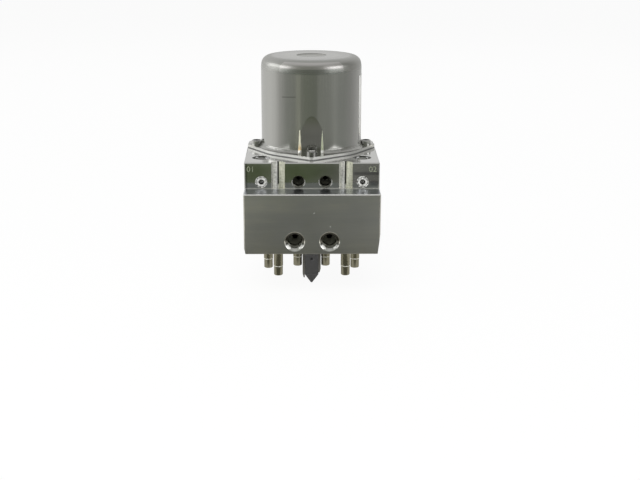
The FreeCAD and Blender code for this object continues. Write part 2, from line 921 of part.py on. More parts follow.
def accumulator_piston():
    """Along +Y: a cup that is open towards its spring."""
    radius = accumulator_radius - sliding_gap
    hollow = radius - accumulator_piston_wall
    floor = accumulator_end + free_gap
    return turned(
        (0, floor),
        (radius, floor),
        (radius, floor + accumulator_piston_length),
        (hollow, floor + accumulator_piston_length),
        (hollow, floor + accumulator_piston_wall),
        (0, floor + accumulator_piston_wall),
    )


def accumulator_cap():
    """Along +Y: a dished cap with a vent hole."""
    radius = accumulator_radius - press_gap
    face = cap_face + accumulator_cap_thickness
    return turned(
        (accumulator_vent_radius, cap_face),
        (radius, cap_face),
        (radius, face),
        (radius - accumulator_cap_rim, face),
        (radius - accumulator_cap_rim - accumulator_cap_dish, face - accumulator_cap_dish),
        (accumulator_vent_radius, face - accumulator_cap_dish),
    )


def accumulator_parts():
    seat = accumulator_end + free_gap + accumulator_piston_wall
    spring = coil_spring(accumulator_spring_radius, accumulator_spring_wire, cap_face - seat,
                         accumulator_spring_turns)
    pieces = {
        "accumulator_piston_": accumulator_piston(),
        "accumulator_spring_": moved(spring, UP * seat),
        "accumulator_cap_": accumulator_cap(),
    }
    parts = {}
    for side, sign in SIDES.items():
        centre = Vector(sign * accumulator_spacing / 2, 0, accumulator_height)
        for name, shape in pieces.items():
            parts[name + side] = along(shape, Vector(0, 1, 0), centre)
    return parts


def valve():
    """The tube below the block and the pressed body above, bored for the plunger."""
    tube_inner = valve_tube_radius - valve_tube_wall
    end = -valve_tube_length
    step = end + valve_tube_end_length
    slope = valve_tube_radius - valve_tube_end_radius
    needle_bore = valve_needle_radius + sliding_gap
    seat = valve_needle_top + valve_seat_gap
    core_face = -valve_core_face
    return turned(
        (0, end),
        (valve_tube_end_radius - valve_edge, end),
        (valve_tube_end_radius, end + valve_edge),
        (valve_tube_end_radius, step - slope),
        (valve_tube_radius, step),
        (valve_tube_radius, 0),
        (valve_body_radius, 0),
        (valve_body_radius, valve_body_height),
        (valve_orifice_radius, valve_body_height),
        (valve_orifice_radius, seat),
        (needle_bore, seat),
        (needle_bore, core_face),
        (tube_inner, core_face),
        (tube_inner, end + valve_tube_bottom),
        (0, end + valve_tube_bottom),
    )


def valve_plunger():
    """The sliding armature and the needle that closes the seat."""
    radius = valve_tube_radius - valve_tube_wall - sliding_gap
    foot = valve_tube_bottom + valve_seat_gap - valve_tube_length
    top = -valve_core_face - valve_seat_gap
    return turned(
        (0, foot),
        (radius, foot),
        (radius, top),
        (valve_needle_radius, top),
        (valve_needle_radius, valve_needle_top - valve_needle_radius),
        (0, valve_needle_top),
    )


def valve_parts():
    parts = {}
    for name, x, y in valve_places():
        parts[name] = moved(valve(), Vector(x, y, 0))
        parts[name + "_plunger"] = moved(valve_plunger(), Vector(x, y, 0))
    return parts


def plug_head():
    """A flat block whose nose slopes in on all four sides to a small tip."""
    top = plug_seat_depth - plug_head_gap
    shoulder = -plug_shoulder_drop
    tip = plug_tip_width / 2
    length = 4 * plug_head_width
    sides = []
    for width in (plug_head_width, plug_head_depth):
        half = width / 2
        face = outline((-half, top), (half, top), (half, shoulder), (tip, -plug_tip_drop),
                       (-tip, -plug_tip_drop), (-half, shoulder))
        sides.append(moved(face.extrude(Vector(0, length, 0)), Vector(0, -length / 2, 0)))
    sides[1].rotate(Vector(0, 0, 0), UP, 90)
    head = moved(sides[0].common(sides[1]), Vector(0, plug_head_y, 0))
    latch = cylinder(plug_latch_radius, plug_latch_depth,
                     Vector(0, plug_head_y - plug_head_depth / 2, -plug_latch_drop),
                     Vector(0, 1, 0))
    return head.cut(latch)


def motor_plug():
    """The head and the rod that runs up through the block to the brush plate."""
    foot = -contact_bend_drop
    rod = cylinder(plug_rod_radius, block_height - foot, Vector(0, plug_rod_y, foot))
    slots = [contact_strip(sign, plug_tip_drop, press_gap) for sign in SIDES.values()]
    return fused([plug_head(), rod]).cut(slots)


def contact_strip(sign, drop, gap):
    """A bent strip: up inside the rod, out through the head and down its side."""
    inner = contact_inner_offset - gap
    outer = plug_head_width / 2 + contact_thickness + gap
    thickness = contact_thickness + 2 * gap
    bend_top = gap - contact_bend_drop
    bend_foot = bend_top - thickness
    top = block_height + brush_plate_thickness + contact_blade_rise
    rod_front = plug_rod_y - contact_riser_width / 2 - gap
    rod_back = plug_rod_y + contact_riser_width / 2 + gap
    front = contact_front_y - gap
    back = contact_front_y + contact_width + gap
    riser = box(Vector(inner, rod_front, bend_foot), Vector(inner + thickness, rod_back, top))
    bend = box(Vector(inner, rod_front, bend_foot), Vector(outer, back, bend_top))
    blade = outline(
        (outer - thickness, bend_top),
        (outer, bend_top),
        (outer, contact_taper - drop),
        (outer - thickness / 2, -drop),
        (outer - thickness, -drop),
    ).extrude(Vector(0, back - front, 0))
    strip = fused([riser, bend, moved(blade, Vector(0, front, 0))])
    if sign < 0:
        strip = strip.mirror(Vector(0, 0, 0), Vector(1, 0, 0))
    return strip


def sealing_plugs():
    """The pressed sleeves and the balls driven into them."""
    sleeves = []
    balls = []
    for sign in SIDES.values():
        mouth = Vector(sign * plug_spacing / 2, recess_y + plug_sink, port_row_height)
        sleeve = cylinder(plug_sleeve_radius, plug_sleeve_length, mouth, Vector(0, 1, 0))
        bore = cylinder(plug_ball_radius + press_gap, plug_sleeve_length - plug_sleeve_floor,
                        mouth, Vector(0, 1, 0))
        sleeves.append(sleeve.cut(bore))
        centre = mouth + Vector(0, plug_ball_radius + plug_ball_sink, 0)
        balls.append(Part.makeSphere(plug_ball_radius, centre))
    return {
        "sealing_sleeves": Part.makeCompound(sleeves),
        "sealing_balls": Part.makeCompound(balls),
    }


def all_parts():
    parts = {
        "valve_block": valve_block(),
        "motor_can": motor_can(),
        "motor_gasket": motor_gasket(),
        "motor_screws": motor_screws(),
        "armature_core": armature_core(),
        "armature_windings": armature_windings(),
        "commutator": commutator(),
        "rotor_shaft": rotor_shaft(),
        "eccentric_ring": eccentric_ring(),
        "upper_bush": upper_bush(),
        "lower_bearing": lower_bearing(),
        "brush_plate": brush_plate(),
        "motor_plug": motor_plug(),
        "contact_left": contact_strip(-1, contact_drop_left, 0),
        "contact_right": contact_strip(1, contact_drop_right, 0),
    }
    for side, sign in SIDES.items():
        parts["brush_" + side] = brush(sign)
    for group in (magnets(), pump_parts(), accumulator_parts(), valve_parts(), sealing_plugs()):
        parts.update(group)
    return parts


def main():
    os.makedirs("parts", exist_ok=True)
    for name, shape in all_parts().items():
        shape.exportStep("parts/" + name + ".step")


main()
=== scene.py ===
import bpy
import bmesh
import json
import math
from mathutils import Matrix, Vector

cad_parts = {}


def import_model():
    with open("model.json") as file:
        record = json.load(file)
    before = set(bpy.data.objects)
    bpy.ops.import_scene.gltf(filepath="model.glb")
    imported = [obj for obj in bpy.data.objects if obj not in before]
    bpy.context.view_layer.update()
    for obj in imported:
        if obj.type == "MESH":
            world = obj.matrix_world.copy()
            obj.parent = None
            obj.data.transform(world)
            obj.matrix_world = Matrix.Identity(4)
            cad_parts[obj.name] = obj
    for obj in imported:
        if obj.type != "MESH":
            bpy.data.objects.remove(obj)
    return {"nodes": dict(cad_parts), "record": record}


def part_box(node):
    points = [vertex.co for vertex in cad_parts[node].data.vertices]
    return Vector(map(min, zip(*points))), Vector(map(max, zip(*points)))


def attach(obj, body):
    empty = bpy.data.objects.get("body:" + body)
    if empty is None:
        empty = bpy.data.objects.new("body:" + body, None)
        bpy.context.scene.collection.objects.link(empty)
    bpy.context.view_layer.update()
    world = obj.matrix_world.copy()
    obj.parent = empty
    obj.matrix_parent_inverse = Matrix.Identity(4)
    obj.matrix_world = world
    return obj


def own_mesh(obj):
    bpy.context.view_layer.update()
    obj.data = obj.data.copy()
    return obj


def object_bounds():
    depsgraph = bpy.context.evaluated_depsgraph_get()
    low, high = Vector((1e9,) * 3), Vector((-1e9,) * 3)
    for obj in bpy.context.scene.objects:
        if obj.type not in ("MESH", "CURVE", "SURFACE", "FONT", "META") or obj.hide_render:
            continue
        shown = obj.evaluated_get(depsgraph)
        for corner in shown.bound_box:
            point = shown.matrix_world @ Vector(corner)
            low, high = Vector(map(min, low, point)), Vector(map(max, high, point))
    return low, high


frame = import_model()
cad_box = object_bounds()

# Visual model of the hydraulic unit of an anti-lock brake.
# Lengths are in metres, in the same frame as the solids: +Z runs up the motor's
# axis, the origin lies on the block's bottom face and the ports face -Y.

MM = 0.001
nodes = frame["nodes"]
block_lowest, block_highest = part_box("valve_block")

# Sizes and places from the frame
SIDE_X = block_highest[0]
FRONT_Y = block_lowest[1]
BLOCK_TOP = block_highest[2]
CAN_TOP = cad_box[1][2]
FLOOR_Z = cad_box[0][2]

# Sizes and the motor's axis, shared with the solids
RECESS_Y = -58.2 * MM
LEDGE_Z = 45.0 * MM
PORT_ROW_Z = 49.9 * MM
CAN_RADIUS = 38.7 * MM
FLANGE_TOP = 67.0 * MM
SCREW_CIRCLE = 42.8 * MM
MOTOR_AXIS = (0.0, 0.0, 0.0)

# Places of what the block has on both sides, given for its right side
MAIN_PORT = (12.8 * MM, 0.0, 9.5 * MM)
RECESS_PORT = (10.0 * MM, 0.0, PORT_ROW_Z)
TOP_PORT = (38.0 * MM, -39.9 * MM, 0.0)
PLUG = (37.5 * MM, 0.0, PORT_ROW_Z)
GROOVE = (25.0 * MM, RECESS_Y, 0.0)

# Directions, a stretch that is the same in all of them, and a distance past the whole unit
ALONG_X, ALONG_Y, ALONG_Z = (1.0, 0.0, 0.0), (0.0, 1.0, 0.0), (0.0, 0.0, 1.0)
FACING_FRONT = (1.0, 0.0, 1.0)
FACING_UP = (1.0, 1.0, 0.0)
EVEN = (1.0, 1.0, 1.0)
FAR = 1.0


# Shader node helpers

def add_node(tree, kind, values=None, **settings):
    """A node with its properties and the plain values of its inputs."""
    made = tree.nodes.new(kind)
    for name, value in settings.items():
        setattr(made, name, value)
    for name, value in (values or {}).items():
        made.inputs[name].default_value = value
    return made


def link(tree, source, target):
    tree.links.new(source, target)


def math_node(tree, operation, first, second):
    """A Math node whose inputs are sockets or numbers."""
    made = add_node(tree, "ShaderNodeMath", operation=operation)
    for index, value in enumerate((first, second)):
        if isinstance(value, (int, float)):
            made.inputs[index].default_value = value
        else:
            link(tree, value, made.inputs[index])
    return made.outputs[0]


def new_group(name, inputs, outputs, kind="ShaderNodeTree"):
    """A node tree with its named inputs and outputs."""
    tree = bpy.data.node_groups.new(name, kind)
    for label, value_type, default in inputs:
        socket = tree.interface.new_socket(label, in_out="INPUT", socket_type=value_type)
        if default is not None:
            socket.default_value = default
    for label, value_type in outputs:
        tree.interface.new_socket(label, in_out="OUTPUT", socket_type=value_type)
    start = tree.nodes.new("NodeGroupInput")
    end = tree.nodes.new("NodeGroupOutput")
    return tree, start, end


def grain_group():
    """Fine parallel lines, as milling, grinding or drawing leaves them."""
    tree, start, end = new_group(
        "Tool Grain",
        [("Stretch", "NodeSocketVector", EVEN),
         ("Scale", "NodeSocketFloat", 1.0),
         ("Contrast", "NodeSocketFloat", 1.0)],
        [("Lines", "NodeSocketFloat")],
    )
    place = add_node(tree, "ShaderNodeTexCoord")
    stretched = add_node(tree, "ShaderNodeVectorMath", operation="MULTIPLY")
    link(tree, place.outputs["Object"], stretched.inputs[0])
    link(tree, start.outputs["Stretch"], stretched.inputs[1])
    noise = add_node(tree, "ShaderNodeTexNoise", {"Detail": 5.0, "Roughness": 0.65})
    link(tree, stretched.outputs[0], noise.inputs["Vector"])
    link(tree, start.outputs["Scale"], noise.inputs["Scale"])
    centred = math_node(tree, "SUBTRACT", noise.outputs["Fac"], 0.5)
    strong = math_node(tree, "MULTIPLY", centred, start.outputs["Contrast"])
    link(tree, math_node(tree, "ADD", strong, 0.5), end.inputs["Lines"])
    return tree


def patch_group():
    """Soft patches of handling film and uneven finish."""
    tree, start, end = new_group(
        "Surface Film",
        [("Scale", "NodeSocketFloat", 30.0),
         ("Low", "NodeSocketFloat", 0.1),
         ("High", "NodeSocketFloat", 0.3)],
        [("Value", "NodeSocketFloat")],
    )
    place = add_node(tree, "ShaderNodeTexCoord")
    noise = add_node(tree, "ShaderNodeTexNoise", {"Detail": 4.0, "Roughness": 0.55})
    link(tree, place.outputs["Object"], noise.inputs["Vector"])
    link(tree, start.outputs["Scale"], noise.inputs["Scale"])
    fitted = add_node(tree, "ShaderNodeMapRange", {"From Min": 0.3, "From Max": 0.7})
    link(tree, noise.outputs["Fac"], fitted.inputs["Value"])
    link(tree, start.outputs["Low"], fitted.inputs["To Min"])
    link(tree, start.outputs["High"], fitted.inputs["To Max"])
    link(tree, fitted.outputs["Result"], end.inputs["Value"])
    return tree


def between(tree, past, short, border):
    """A mask from the distances past one limit and short of another, with soft borders."""
    sides = []
    for distance in (past, short):
        ratio = math_node(tree, "DIVIDE", distance, border)
        sides.append(math_node(tree, "MINIMUM", math_node(tree, "MAXIMUM", ratio, 0.0), 1.0))
    return math_node(tree, "MULTIPLY", sides[0], sides[1])


def slab_group():
    """A mask that is 1 between two planes across one axis."""
    tree, start, end = new_group(
        "Slab Mask",
        [("Axis", "NodeSocketVector", ALONG_Z),
         ("Start", "NodeSocketFloat", 0.0),
         ("End", "NodeSocketFloat", FAR),
         ("Border", "NodeSocketFloat", 0.5 * MM)],
        [("Mask", "NodeSocketFloat")],
    )
    place = add_node(tree, "ShaderNodeTexCoord")
    along = add_node(tree, "ShaderNodeVectorMath", operation="DOT_PRODUCT")
    link(tree, place.outputs["Object"], along.inputs[0])
    link(tree, start.outputs["Axis"], along.inputs[1])
    past = math_node(tree, "SUBTRACT", along.outputs["Value"], start.outputs["Start"])
    short = math_node(tree, "SUBTRACT", start.outputs["End"], along.outputs["Value"])
    link(tree, between(tree, past, short, start.outputs["Border"]), end.inputs["Mask"])
    return tree


def ring_group():
    """A mask that is 1 between two radii about an axis, on both sides of the unit."""
    tree, start, end = new_group(
        "Ring Mask",
        [("Centre", "NodeSocketVector", MOTOR_AXIS),
         ("Across", "NodeSocketVector", FACING_UP),
         ("Inner", "NodeSocketFloat", 0.0),
         ("Outer", "NodeSocketFloat", 5.0 * MM),
         ("Border", "NodeSocketFloat", 0.2 * MM)],
        [("Mask", "NodeSocketFloat")],
    )
    place = add_node(tree, "ShaderNodeTexCoord")
    parts = add_node(tree, "ShaderNodeSeparateXYZ")
    link(tree, place.outputs["Object"], parts.inputs[0])
    folded = add_node(tree, "ShaderNodeCombineXYZ")
    link(tree, math_node(tree, "ABSOLUTE", parts.outputs["X"], 0.0), folded.inputs["X"])
    link(tree, parts.outputs["Y"], folded.inputs["Y"])
    link(tree, parts.outputs["Z"], folded.inputs["Z"])
    offset = add_node(tree, "ShaderNodeVectorMath", operation="SUBTRACT")
    link(tree, folded.outputs[0], offset.inputs[0])
    link(tree, start.outputs["Centre"], offset.inputs[1])
    flat = add_node(tree, "ShaderNodeVectorMath", operation="MULTIPLY")
    link(tree, offset.outputs[0], flat.inputs[0])
    link(tree, start.outputs["Across"], flat.inputs[1])
    radius = add_node(tree, "ShaderNodeVectorMath", operation="LENGTH")
    link(tree, flat.outputs[0], radius.inputs[0])
    past = math_node(tree, "SUBTRACT", radius.outputs["Value"], start.outputs["Inner"])
    short = math_node(tree, "SUBTRACT", start.outputs["Outer"], radius.outputs["Value"])
    link(tree, between(tree, past, short, start.outputs["Border"]), end.inputs["Mask"])
    return tree


GRAIN = grain_group()
FILM = patch_group()
SLAB = slab_group()
RING = ring_group()


def group_node(tree, group, values):
    """A shader node group placed in a tree, with the plain values of its inputs."""
    made = add_node(tree, "ShaderNodeGroup", node_tree=group)
    for name, value in values.items():
        made.inputs[name].default_value = value
    return made.outputs[0]


def grain(tree, scale, contrast, stretch=EVEN):
    return group_node(tree, GRAIN, {"Stretch": stretch, "Scale": scale, "Contrast": contrast})


def film(tree, scale, low, high):
    return group_node(tree, FILM, {"Scale": scale, "Low": low, "High": high})


def slab(tree, axis, start, end, border=0.1 * MM):
    return group_node(tree, SLAB, {"Axis": axis, "Start": start, "End": end, "Border": border})


def ring(tree, centre, across, inner, outer, border=0.2 * MM):
    return group_node(tree, RING, {"Centre": centre, "Across": across, "Inner": inner,
                                   "Outer": outer, "Border": border})


def disc(tree, centre, across, radius, border=0.2 * MM):
    """A mask that is 1 within a radius of an axis, on both sides of the unit."""
    return ring(tree, centre, across, -FAR, radius, border)


def about_motor(tree, inner, outer, border=0.2 * MM):
    """A mask that is 1 between two radii about the motor's axis."""
    return ring(tree, MOTOR_AXIS, FACING_UP, inner, outer, border)


def all_of(tree, *masks):
    """The product of several masks."""
    product = masks[0]
    for mask in masks[1:]:
        product = math_node(tree, "MULTIPLY", product, mask)
    return product


def any_of(tree, *masks):
    """The highest of several masks."""
    highest = masks[0]
    for mask in masks[1:]:
        highest = math_node(tree, "MAXIMUM", highest, mask)
    return highest


def mix_colour(tree, mask, first, second):
    """Blends two colours, given as sockets or tuples, by a mask."""
    made = add_node(tree, "ShaderNodeMix", data_type="RGBA")
    link(tree, mask, made.inputs[0])
    for index, value in ((6, first), (7, second)):
        if isinstance(value, tuple):
            made.inputs[index].default_value = value + (1.0,)
        else:
            link(tree, value, made.inputs[index])
    return made.outputs[2]


def blend_value(tree, mask, first, second):
    """Blends two values, given as sockets or numbers, by a mask."""
    made = add_node(tree, "ShaderNodeMix", data_type="FLOAT")
    link(tree, mask, made.inputs[0])
    for index, value in ((2, first), (3, second)):
        if isinstance(value, float):
            made.inputs[index].default_value = value
        else:
            link(tree, value, made.inputs[index])
    return made.outputs[0]


def painted(tree, tone, *layers):
    """Lays colours over a tone in turn, each where its mask is 1."""
    for mask, colour in layers:
        tone = mix_colour(tree, mask, tone, colour)
    return tone


def graded(tree, value, *layers):
    """Lays values over a first one in turn, each where its mask is 1."""
    for mask, level in layers:
        value = blend_value(tree, mask, value, level)
    return value


# Finishes

def base_material(name, colour, metallic, roughness):
    """A material with its Principled shader set to plain values."""
    made = bpy.data.materials.new(name)
    made.use_nodes = True
    shader = made.node_tree.nodes["Principled BSDF"]
    shader.inputs["Base Color"].default_value = colour + (1.0,)
    shader.inputs["Metallic"].default_value = metallic
    shader.inputs["Roughness"].default_value = roughness
    return made, made.node_tree, shader


def add_bump(tree, shader, height, distance):
    bump = add_node(tree, "ShaderNodeBump", {"Distance": distance, "Strength": 1.0})
    link(tree, height, bump.inputs["Height"])
    link(tree, bump.outputs["Normal"], shader.inputs["Normal"])


def metal(name, colour, roughness, stretch=EVEN, scale=900.0, contrast=1.0, depth=2e-6):
    """Bare metal with tool lines and a slightly uneven gloss."""
    made, tree, shader = base_material(name, colour, 1.0, roughness)
    lines = grain(tree, scale, contrast, stretch)
    uneven = 0.03
    gloss = film(tree, 45.0, roughness - uneven, roughness + uneven)
    link(tree, gloss, shader.inputs["Roughness"])
    darker = tuple(0.9 * c for c in colour)
    link(tree, mix_colour(tree, lines, darker, colour), shader.inputs["Base Color"])
    add_bump(tree, shader, lines, depth)
    return made


def plain(name, colour, roughness, metallic=0.0, depth=8e-6):
    """Moulded plastic, rubber or carbon with a fine surface."""
    made, tree, shader = base_material(name, colour, metallic, roughness)
    uneven = 0.06
    gloss = film(tree, 60.0, roughness - uneven, roughness + uneven)
    link(tree, gloss, shader.inputs["Roughness"])
    add_bump(tree, shader, grain(tree, 1800.0, 1.0), depth)
    return made


def mouth_masks(tree):
    """The bevels of the ports, and the rims of the pressed plugs' holes, which carry painted shade.
    """
    main = all_of(
        tree,
        ring(tree, MAIN_PORT, FACING_FRONT, 5.4 * MM, 7.7 * MM, 0.05 * MM),
        slab(tree, ALONG_Y, FRONT_Y - 0.1 * MM, FRONT_Y + 1.6 * MM),
    )
    inside = slab(tree, ALONG_Y, RECESS_Y + 0.02 * MM, RECESS_Y + 1.2 * MM, 0.05 * MM)
    wheel = ring(tree, RECESS_PORT, FACING_FRONT, 4.4 * MM, 5.0 * MM, 0.05 * MM)
    plug = ring(tree, PLUG, FACING_FRONT, 3.5 * MM, 4.5 * MM, 0.05 * MM)
    return main, all_of(tree, wheel, inside), all_of(tree, plug, inside)


def shaded_bore_mask(tree):
    """The insides of the ports, darkened as painted shade."""
    main = all_of(
        tree,
        disc(tree, MAIN_PORT, FACING_FRONT, 5.9 * MM),
        slab(tree, ALONG_Y, FRONT_Y + 2.0 * MM, FRONT_Y + 40 * MM, 1.5 * MM),
    )
    wheel = all_of(
        tree,
        disc(tree, RECESS_PORT, FACING_FRONT, 4.75 * MM),
        slab(tree, ALONG_Y, RECESS_Y + 1.0 * MM, RECESS_Y + 40 * MM, 1.5 * MM),
    )
    top = all_of(
        tree,
        disc(tree, TOP_PORT, FACING_UP, 4.75 * MM),
        slab(tree, ALONG_Z, BLOCK_TOP - 14 * MM, BLOCK_TOP - 1.6 * MM, 0.4 * MM),
    )
    return any_of(tree, main, wheel, top)


def bevel_light(tree, main_mouth):
    """Painted shade and painted glints on the main ports' bevels, and painted crescent-shaped
    highlights on the recess ports' bevels.
    """
    lower = slab(tree, ALONG_Z, -FAR, 7.5 * MM, 3.0 * MM)
    outer = ring(tree, MAIN_PORT, FACING_FRONT, 6.95 * MM, 7.7 * MM, 0.1 * MM)
    upper = math_node(tree, "SUBTRACT", 1.0, any_of(tree, lower, outer))
    glints = all_of(
        tree,
        ring(tree, MAIN_PORT, FACING_FRONT, 5.2 * MM, 7.0 * MM, 0.4 * MM),
        ring(tree, MAIN_PORT, ALONG_X, 2.6 * MM, 7.0 * MM, 0.8 * MM),
        slab(tree, ALONG_Z, 2.4 * MM, 6.0 * MM, 0.8 * MM),
        slab(tree, ALONG_Y, FRONT_Y + 0.1 * MM, FRONT_Y + 2.5 * MM, 0.3 * MM),
    )
    crescent_highlights = all_of(
        tree,
        ring(tree, RECESS_PORT, FACING_FRONT, 4.3 * MM, 5.1 * MM, 0.1 * MM),
        ring(tree, RECESS_PORT, ALONG_X, 3.4 * MM, 6.0 * MM, 0.5 * MM),
        slab(tree, ALONG_Y, RECESS_Y - 0.1 * MM, RECESS_Y + 1.5 * MM, 0.1 * MM),
        slab(tree, ALONG_Z, PORT_ROW_Z - 3.4 * MM, PORT_ROW_Z + 2.0 * MM, 1.2 * MM),
    )
    return all_of(tree, main_mouth, upper), glints, crescent_highlights


def nick_highlight(tree, x, z, radius):
    """A small dented spot in the right half of the front face, shown only as a painted highlight.
    """
    spot = disc(tree, (x, 0.0, z), FACING_FRONT, radius, 0.15 * MM)
    return all_of(tree, spot, slab(tree, ALONG_X, 0.0, FAR))


def groove_masks(tree):
    """The two grooves in the recess's wall, and a painted dark reflection as a line up the middle
    of each.
    """
    groove = all_of(
        tree,
        ring(tree, GROOVE, FACING_UP, 4.5 * MM, 5.4 * MM, 0.05 * MM),
        slab(tree, ALONG_Y, RECESS_Y + 0.1 * MM, RECESS_Y + 6 * MM),
        slab(tree, ALONG_Z, LEDGE_Z - 0.1 * MM, FAR),
    )
    middle = all_of(
        tree, groove, disc(tree, GROOVE, ALONG_X, 0.75 * MM),
        slab(tree, ALONG_Z, LEDGE_Z + 1 * MM, FAR, 2 * MM),
    )
    return groove, middle


def ledge_masks(tree):
    """The ledge, and painted highlight lines in its inner angle and along its front edge."""
    ledge = all_of(
        tree,
        slab(tree, ALONG_Y, FRONT_Y + 0.5 * MM, RECESS_Y, 0.1 * MM),
        slab(tree, ALONG_Z, LEDGE_Z - 0.2 * MM, LEDGE_Z + 0.15 * MM),
    )
    # Painted highlight lines: one in the ledge's inner angle, one along its front edge.
    corner = all_of(tree, ledge, slab(tree, ALONG_Y, RECESS_Y - 2.5 * MM, 0.0, 1.0 * MM))
    edge = all_of(
        tree,
        slab(tree, ALONG_Y, -FAR, FRONT_Y + 0.9 * MM, 0.2 * MM),
        slab(tree, ALONG_Z, LEDGE_Z - 0.75 * MM, FAR, 0.2 * MM),
    )
    return ledge, corner, edge


def flank_mask(tree):
    """The block's sides with darker strips along their lower edges, and all that lies far behind
    the recess.
    """
    side = (SIDE_X, 0.0, 0.0)
    lower_side_strips = all_of(
        tree,
        disc(tree, side, ALONG_X, 2.6 * MM, 0.05 * MM),
        slab(tree, ALONG_Z, -FAR, 18 * MM, 0.05 * MM),
    )
    rear = slab(tree, ALONG_Y, RECESS_Y + 30 * MM, FAR, 0.05 * MM)
    return all_of(
        tree,
        any_of(tree, disc(tree, side, ALONG_X, 0.35 * MM, 0.05 * MM), lower_side_strips, rear),
        slab(tree, ALONG_Z, -FAR, BLOCK_TOP - 0.1 * MM, 0.05 * MM),
    )


def reflection_streak_mask(tree):
    """Painted dark reflection streaks on the recess's wall."""
    upper = all_of(
        tree,
        slab(tree, ALONG_X, 30 * MM, FAR, 2 * MM),
        slab(tree, ALONG_Z, 54.6 * MM, 58.0 * MM, 1.2 * MM),
    )
    lower = all_of(
        tree,
        slab(tree, ALONG_X, 42 * MM, FAR, 2 * MM),
        slab(tree, ALONG_Z, 46.5 * MM, 51.5 * MM, 1.2 * MM),
    )
    end = slab(tree, ALONG_X, -FAR, -47.6 * MM, 0.3 * MM)
    wall = slab(tree, ALONG_Y, RECESS_Y - 0.1 * MM, RECESS_Y + 0.1 * MM)
    return all_of(tree, wall, any_of(tree, upper, lower, end))


def groove_ripples(tree):
    """The ripples in the grooves and the broken light on them: painted pale highlights and dim
    shade, with a painted beige reflection in the right half of each.
    """
    across = grain(tree, 1100.0, 4.0, (0.6, 0.6, 1.0))
    columns = grain(tree, 800.0, 5.0, (1.0, 1.0, 0.06))
    ripples = math_node(tree, "MULTIPLY", math_node(tree, "ADD", across, columns), 0.5)
    ripples.node.use_clamp = True
    beige = any_of(tree, slab(tree, ALONG_X, -GROOVE[0], 0.0), slab(tree, ALONG_X, GROOVE[0], FAR))
    pale = mix_colour(tree, beige, (1.0, 1.0, 0.97), (0.95, 0.95, 0.80))
    dim = mix_colour(tree, beige, (0.30, 0.30, 0.29), (0.44, 0.45, 0.36))
    return ripples, mix_colour(tree, ripples, dim, pale)


def milled_aluminium():
    """The block: bright cut faces, a duller banded front and grooves with ripples, with painted
    highlights, painted shade and painted reflections laid over them.
    """
    bright = (0.80, 0.80, 0.79)
    made, tree, shader = base_material("Milled Aluminium", bright, 1.0, 0.12)
    front = slab(tree, ALONG_Y, -FAR, FRONT_Y + 0.4 * MM, 0.2 * MM)
    flank, reflection_streaks, shaded_bores = flank_mask(tree), reflection_streak_mask(tree), shaded_bore_mask(tree)
    groove, groove_dark_reflection = groove_masks(tree)
    ledge, corner, edge = ledge_masks(tree)
    main_mouth, wheel_mouth, plug_mouth_shade = mouth_masks(tree)
    shaded, glints, crescent_highlights = bevel_light(tree, main_mouth)
    # The top ports' spot faces, darkened as painted shade.
    spot_face_shade = all_of(
        tree,
        disc(tree, TOP_PORT, FACING_UP, 6.8 * MM, 0.05 * MM),
        slab(tree, ALONG_Z, BLOCK_TOP - 1.2 * MM, BLOCK_TOP - 0.1 * MM, 0.05 * MM),
    )
    nick_highlights = all_of(tree, front, any_of(tree, nick_highlight(tree, 1.3 * MM, 31.0 * MM, 0.42 * MM),
                                       nick_highlight(tree, 13.2 * MM, 20.8 * MM, 0.45 * MM)))
    fresh = any_of(tree, main_mouth, wheel_mouth)
    # Painted highlights: the ledge's two lines, the bevels' glints, the small dented spots on the
    # front face and the recess ports' crescent-shaped highlights.
    lit = any_of(tree, corner, edge, glints, nick_highlights, crescent_highlights)

    bands = grain(tree, 55.0, 2.6, (0.10, 1.0, 1.0))
    patches = grain(tree, 28.0, 2.0, (0.7, 1.0, 1.0))
    banded = mix_colour(tree, bands, (0.50, 0.51, 0.50), (0.76, 0.75, 0.665))
    banded = mix_colour(tree, patches, banded, (0.58, 0.59, 0.60))
    dull = mix_colour(tree, patches, (0.34, 0.34, 0.335), (0.42, 0.42, 0.41))
    cuts = grain(tree, 1500.0, 1.2, (0.03, 1.0, 1.0))
    ripples, painted_groove_light = groove_ripples(tree)
    # Painted over the metal: dark reflection streaks on the recess's wall, the painted highlights,
    # the grooves' painted light and dark middle reflection, and painted shade on the main bevels,
    # the plugs' holes, the spot faces and the bores.
    colour = painted(
        tree, mix_colour(tree, cuts, (0.74, 0.74, 0.73), bright),
        (flank, dull), (front, banded), (reflection_streaks, (0.46, 0.46, 0.47)), (ledge, (0.56, 0.58, 0.62)),
        (any_of(tree, fresh, lit), (0.95, 0.95, 0.93)), (groove, painted_groove_light),
        (groove_dark_reflection, (0.05, 0.05, 0.045)), (shaded, (0.15, 0.15, 0.14)),
        (plug_mouth_shade, (0.20, 0.21, 0.17)), (spot_face_shade, (0.42, 0.42, 0.42)),
        (shaded_bores, (0.34, 0.34, 0.30)),
    )
    link(tree, colour, shader.inputs["Base Color"])
    gloss = graded(
        tree, film(tree, 40.0, 0.07, 0.14),
        (any_of(tree, front, flank), film(tree, 35.0, 0.28, 0.38)), (ledge, 0.30), (fresh, 0.22),
        (any_of(tree, lit, shaded_bores), 0.42), (groove, 0.14),
    )
    link(tree, gloss, shader.inputs["Roughness"])
    bare = graded(tree, 1.0, (groove, 0.35), (any_of(tree, edge, corner), 0.86), (glints, 0.5),
                  (nick_highlights, 0.6), (crescent_highlights, 0.72), (shaded_bores, 0.75))
    link(tree, bare, shader.inputs["Metallic"])
    cut_depth, ripple_depth = 2.0e-6, 9.0e-5
    relief = math_node(tree, "MULTIPLY", all_of(tree, ripples, groove), ripple_depth)
    height = math_node(tree, "ADD", math_node(tree, "MULTIPLY", cuts, cut_depth), relief)
    add_bump(tree, shader, height, 1.0)
    return made


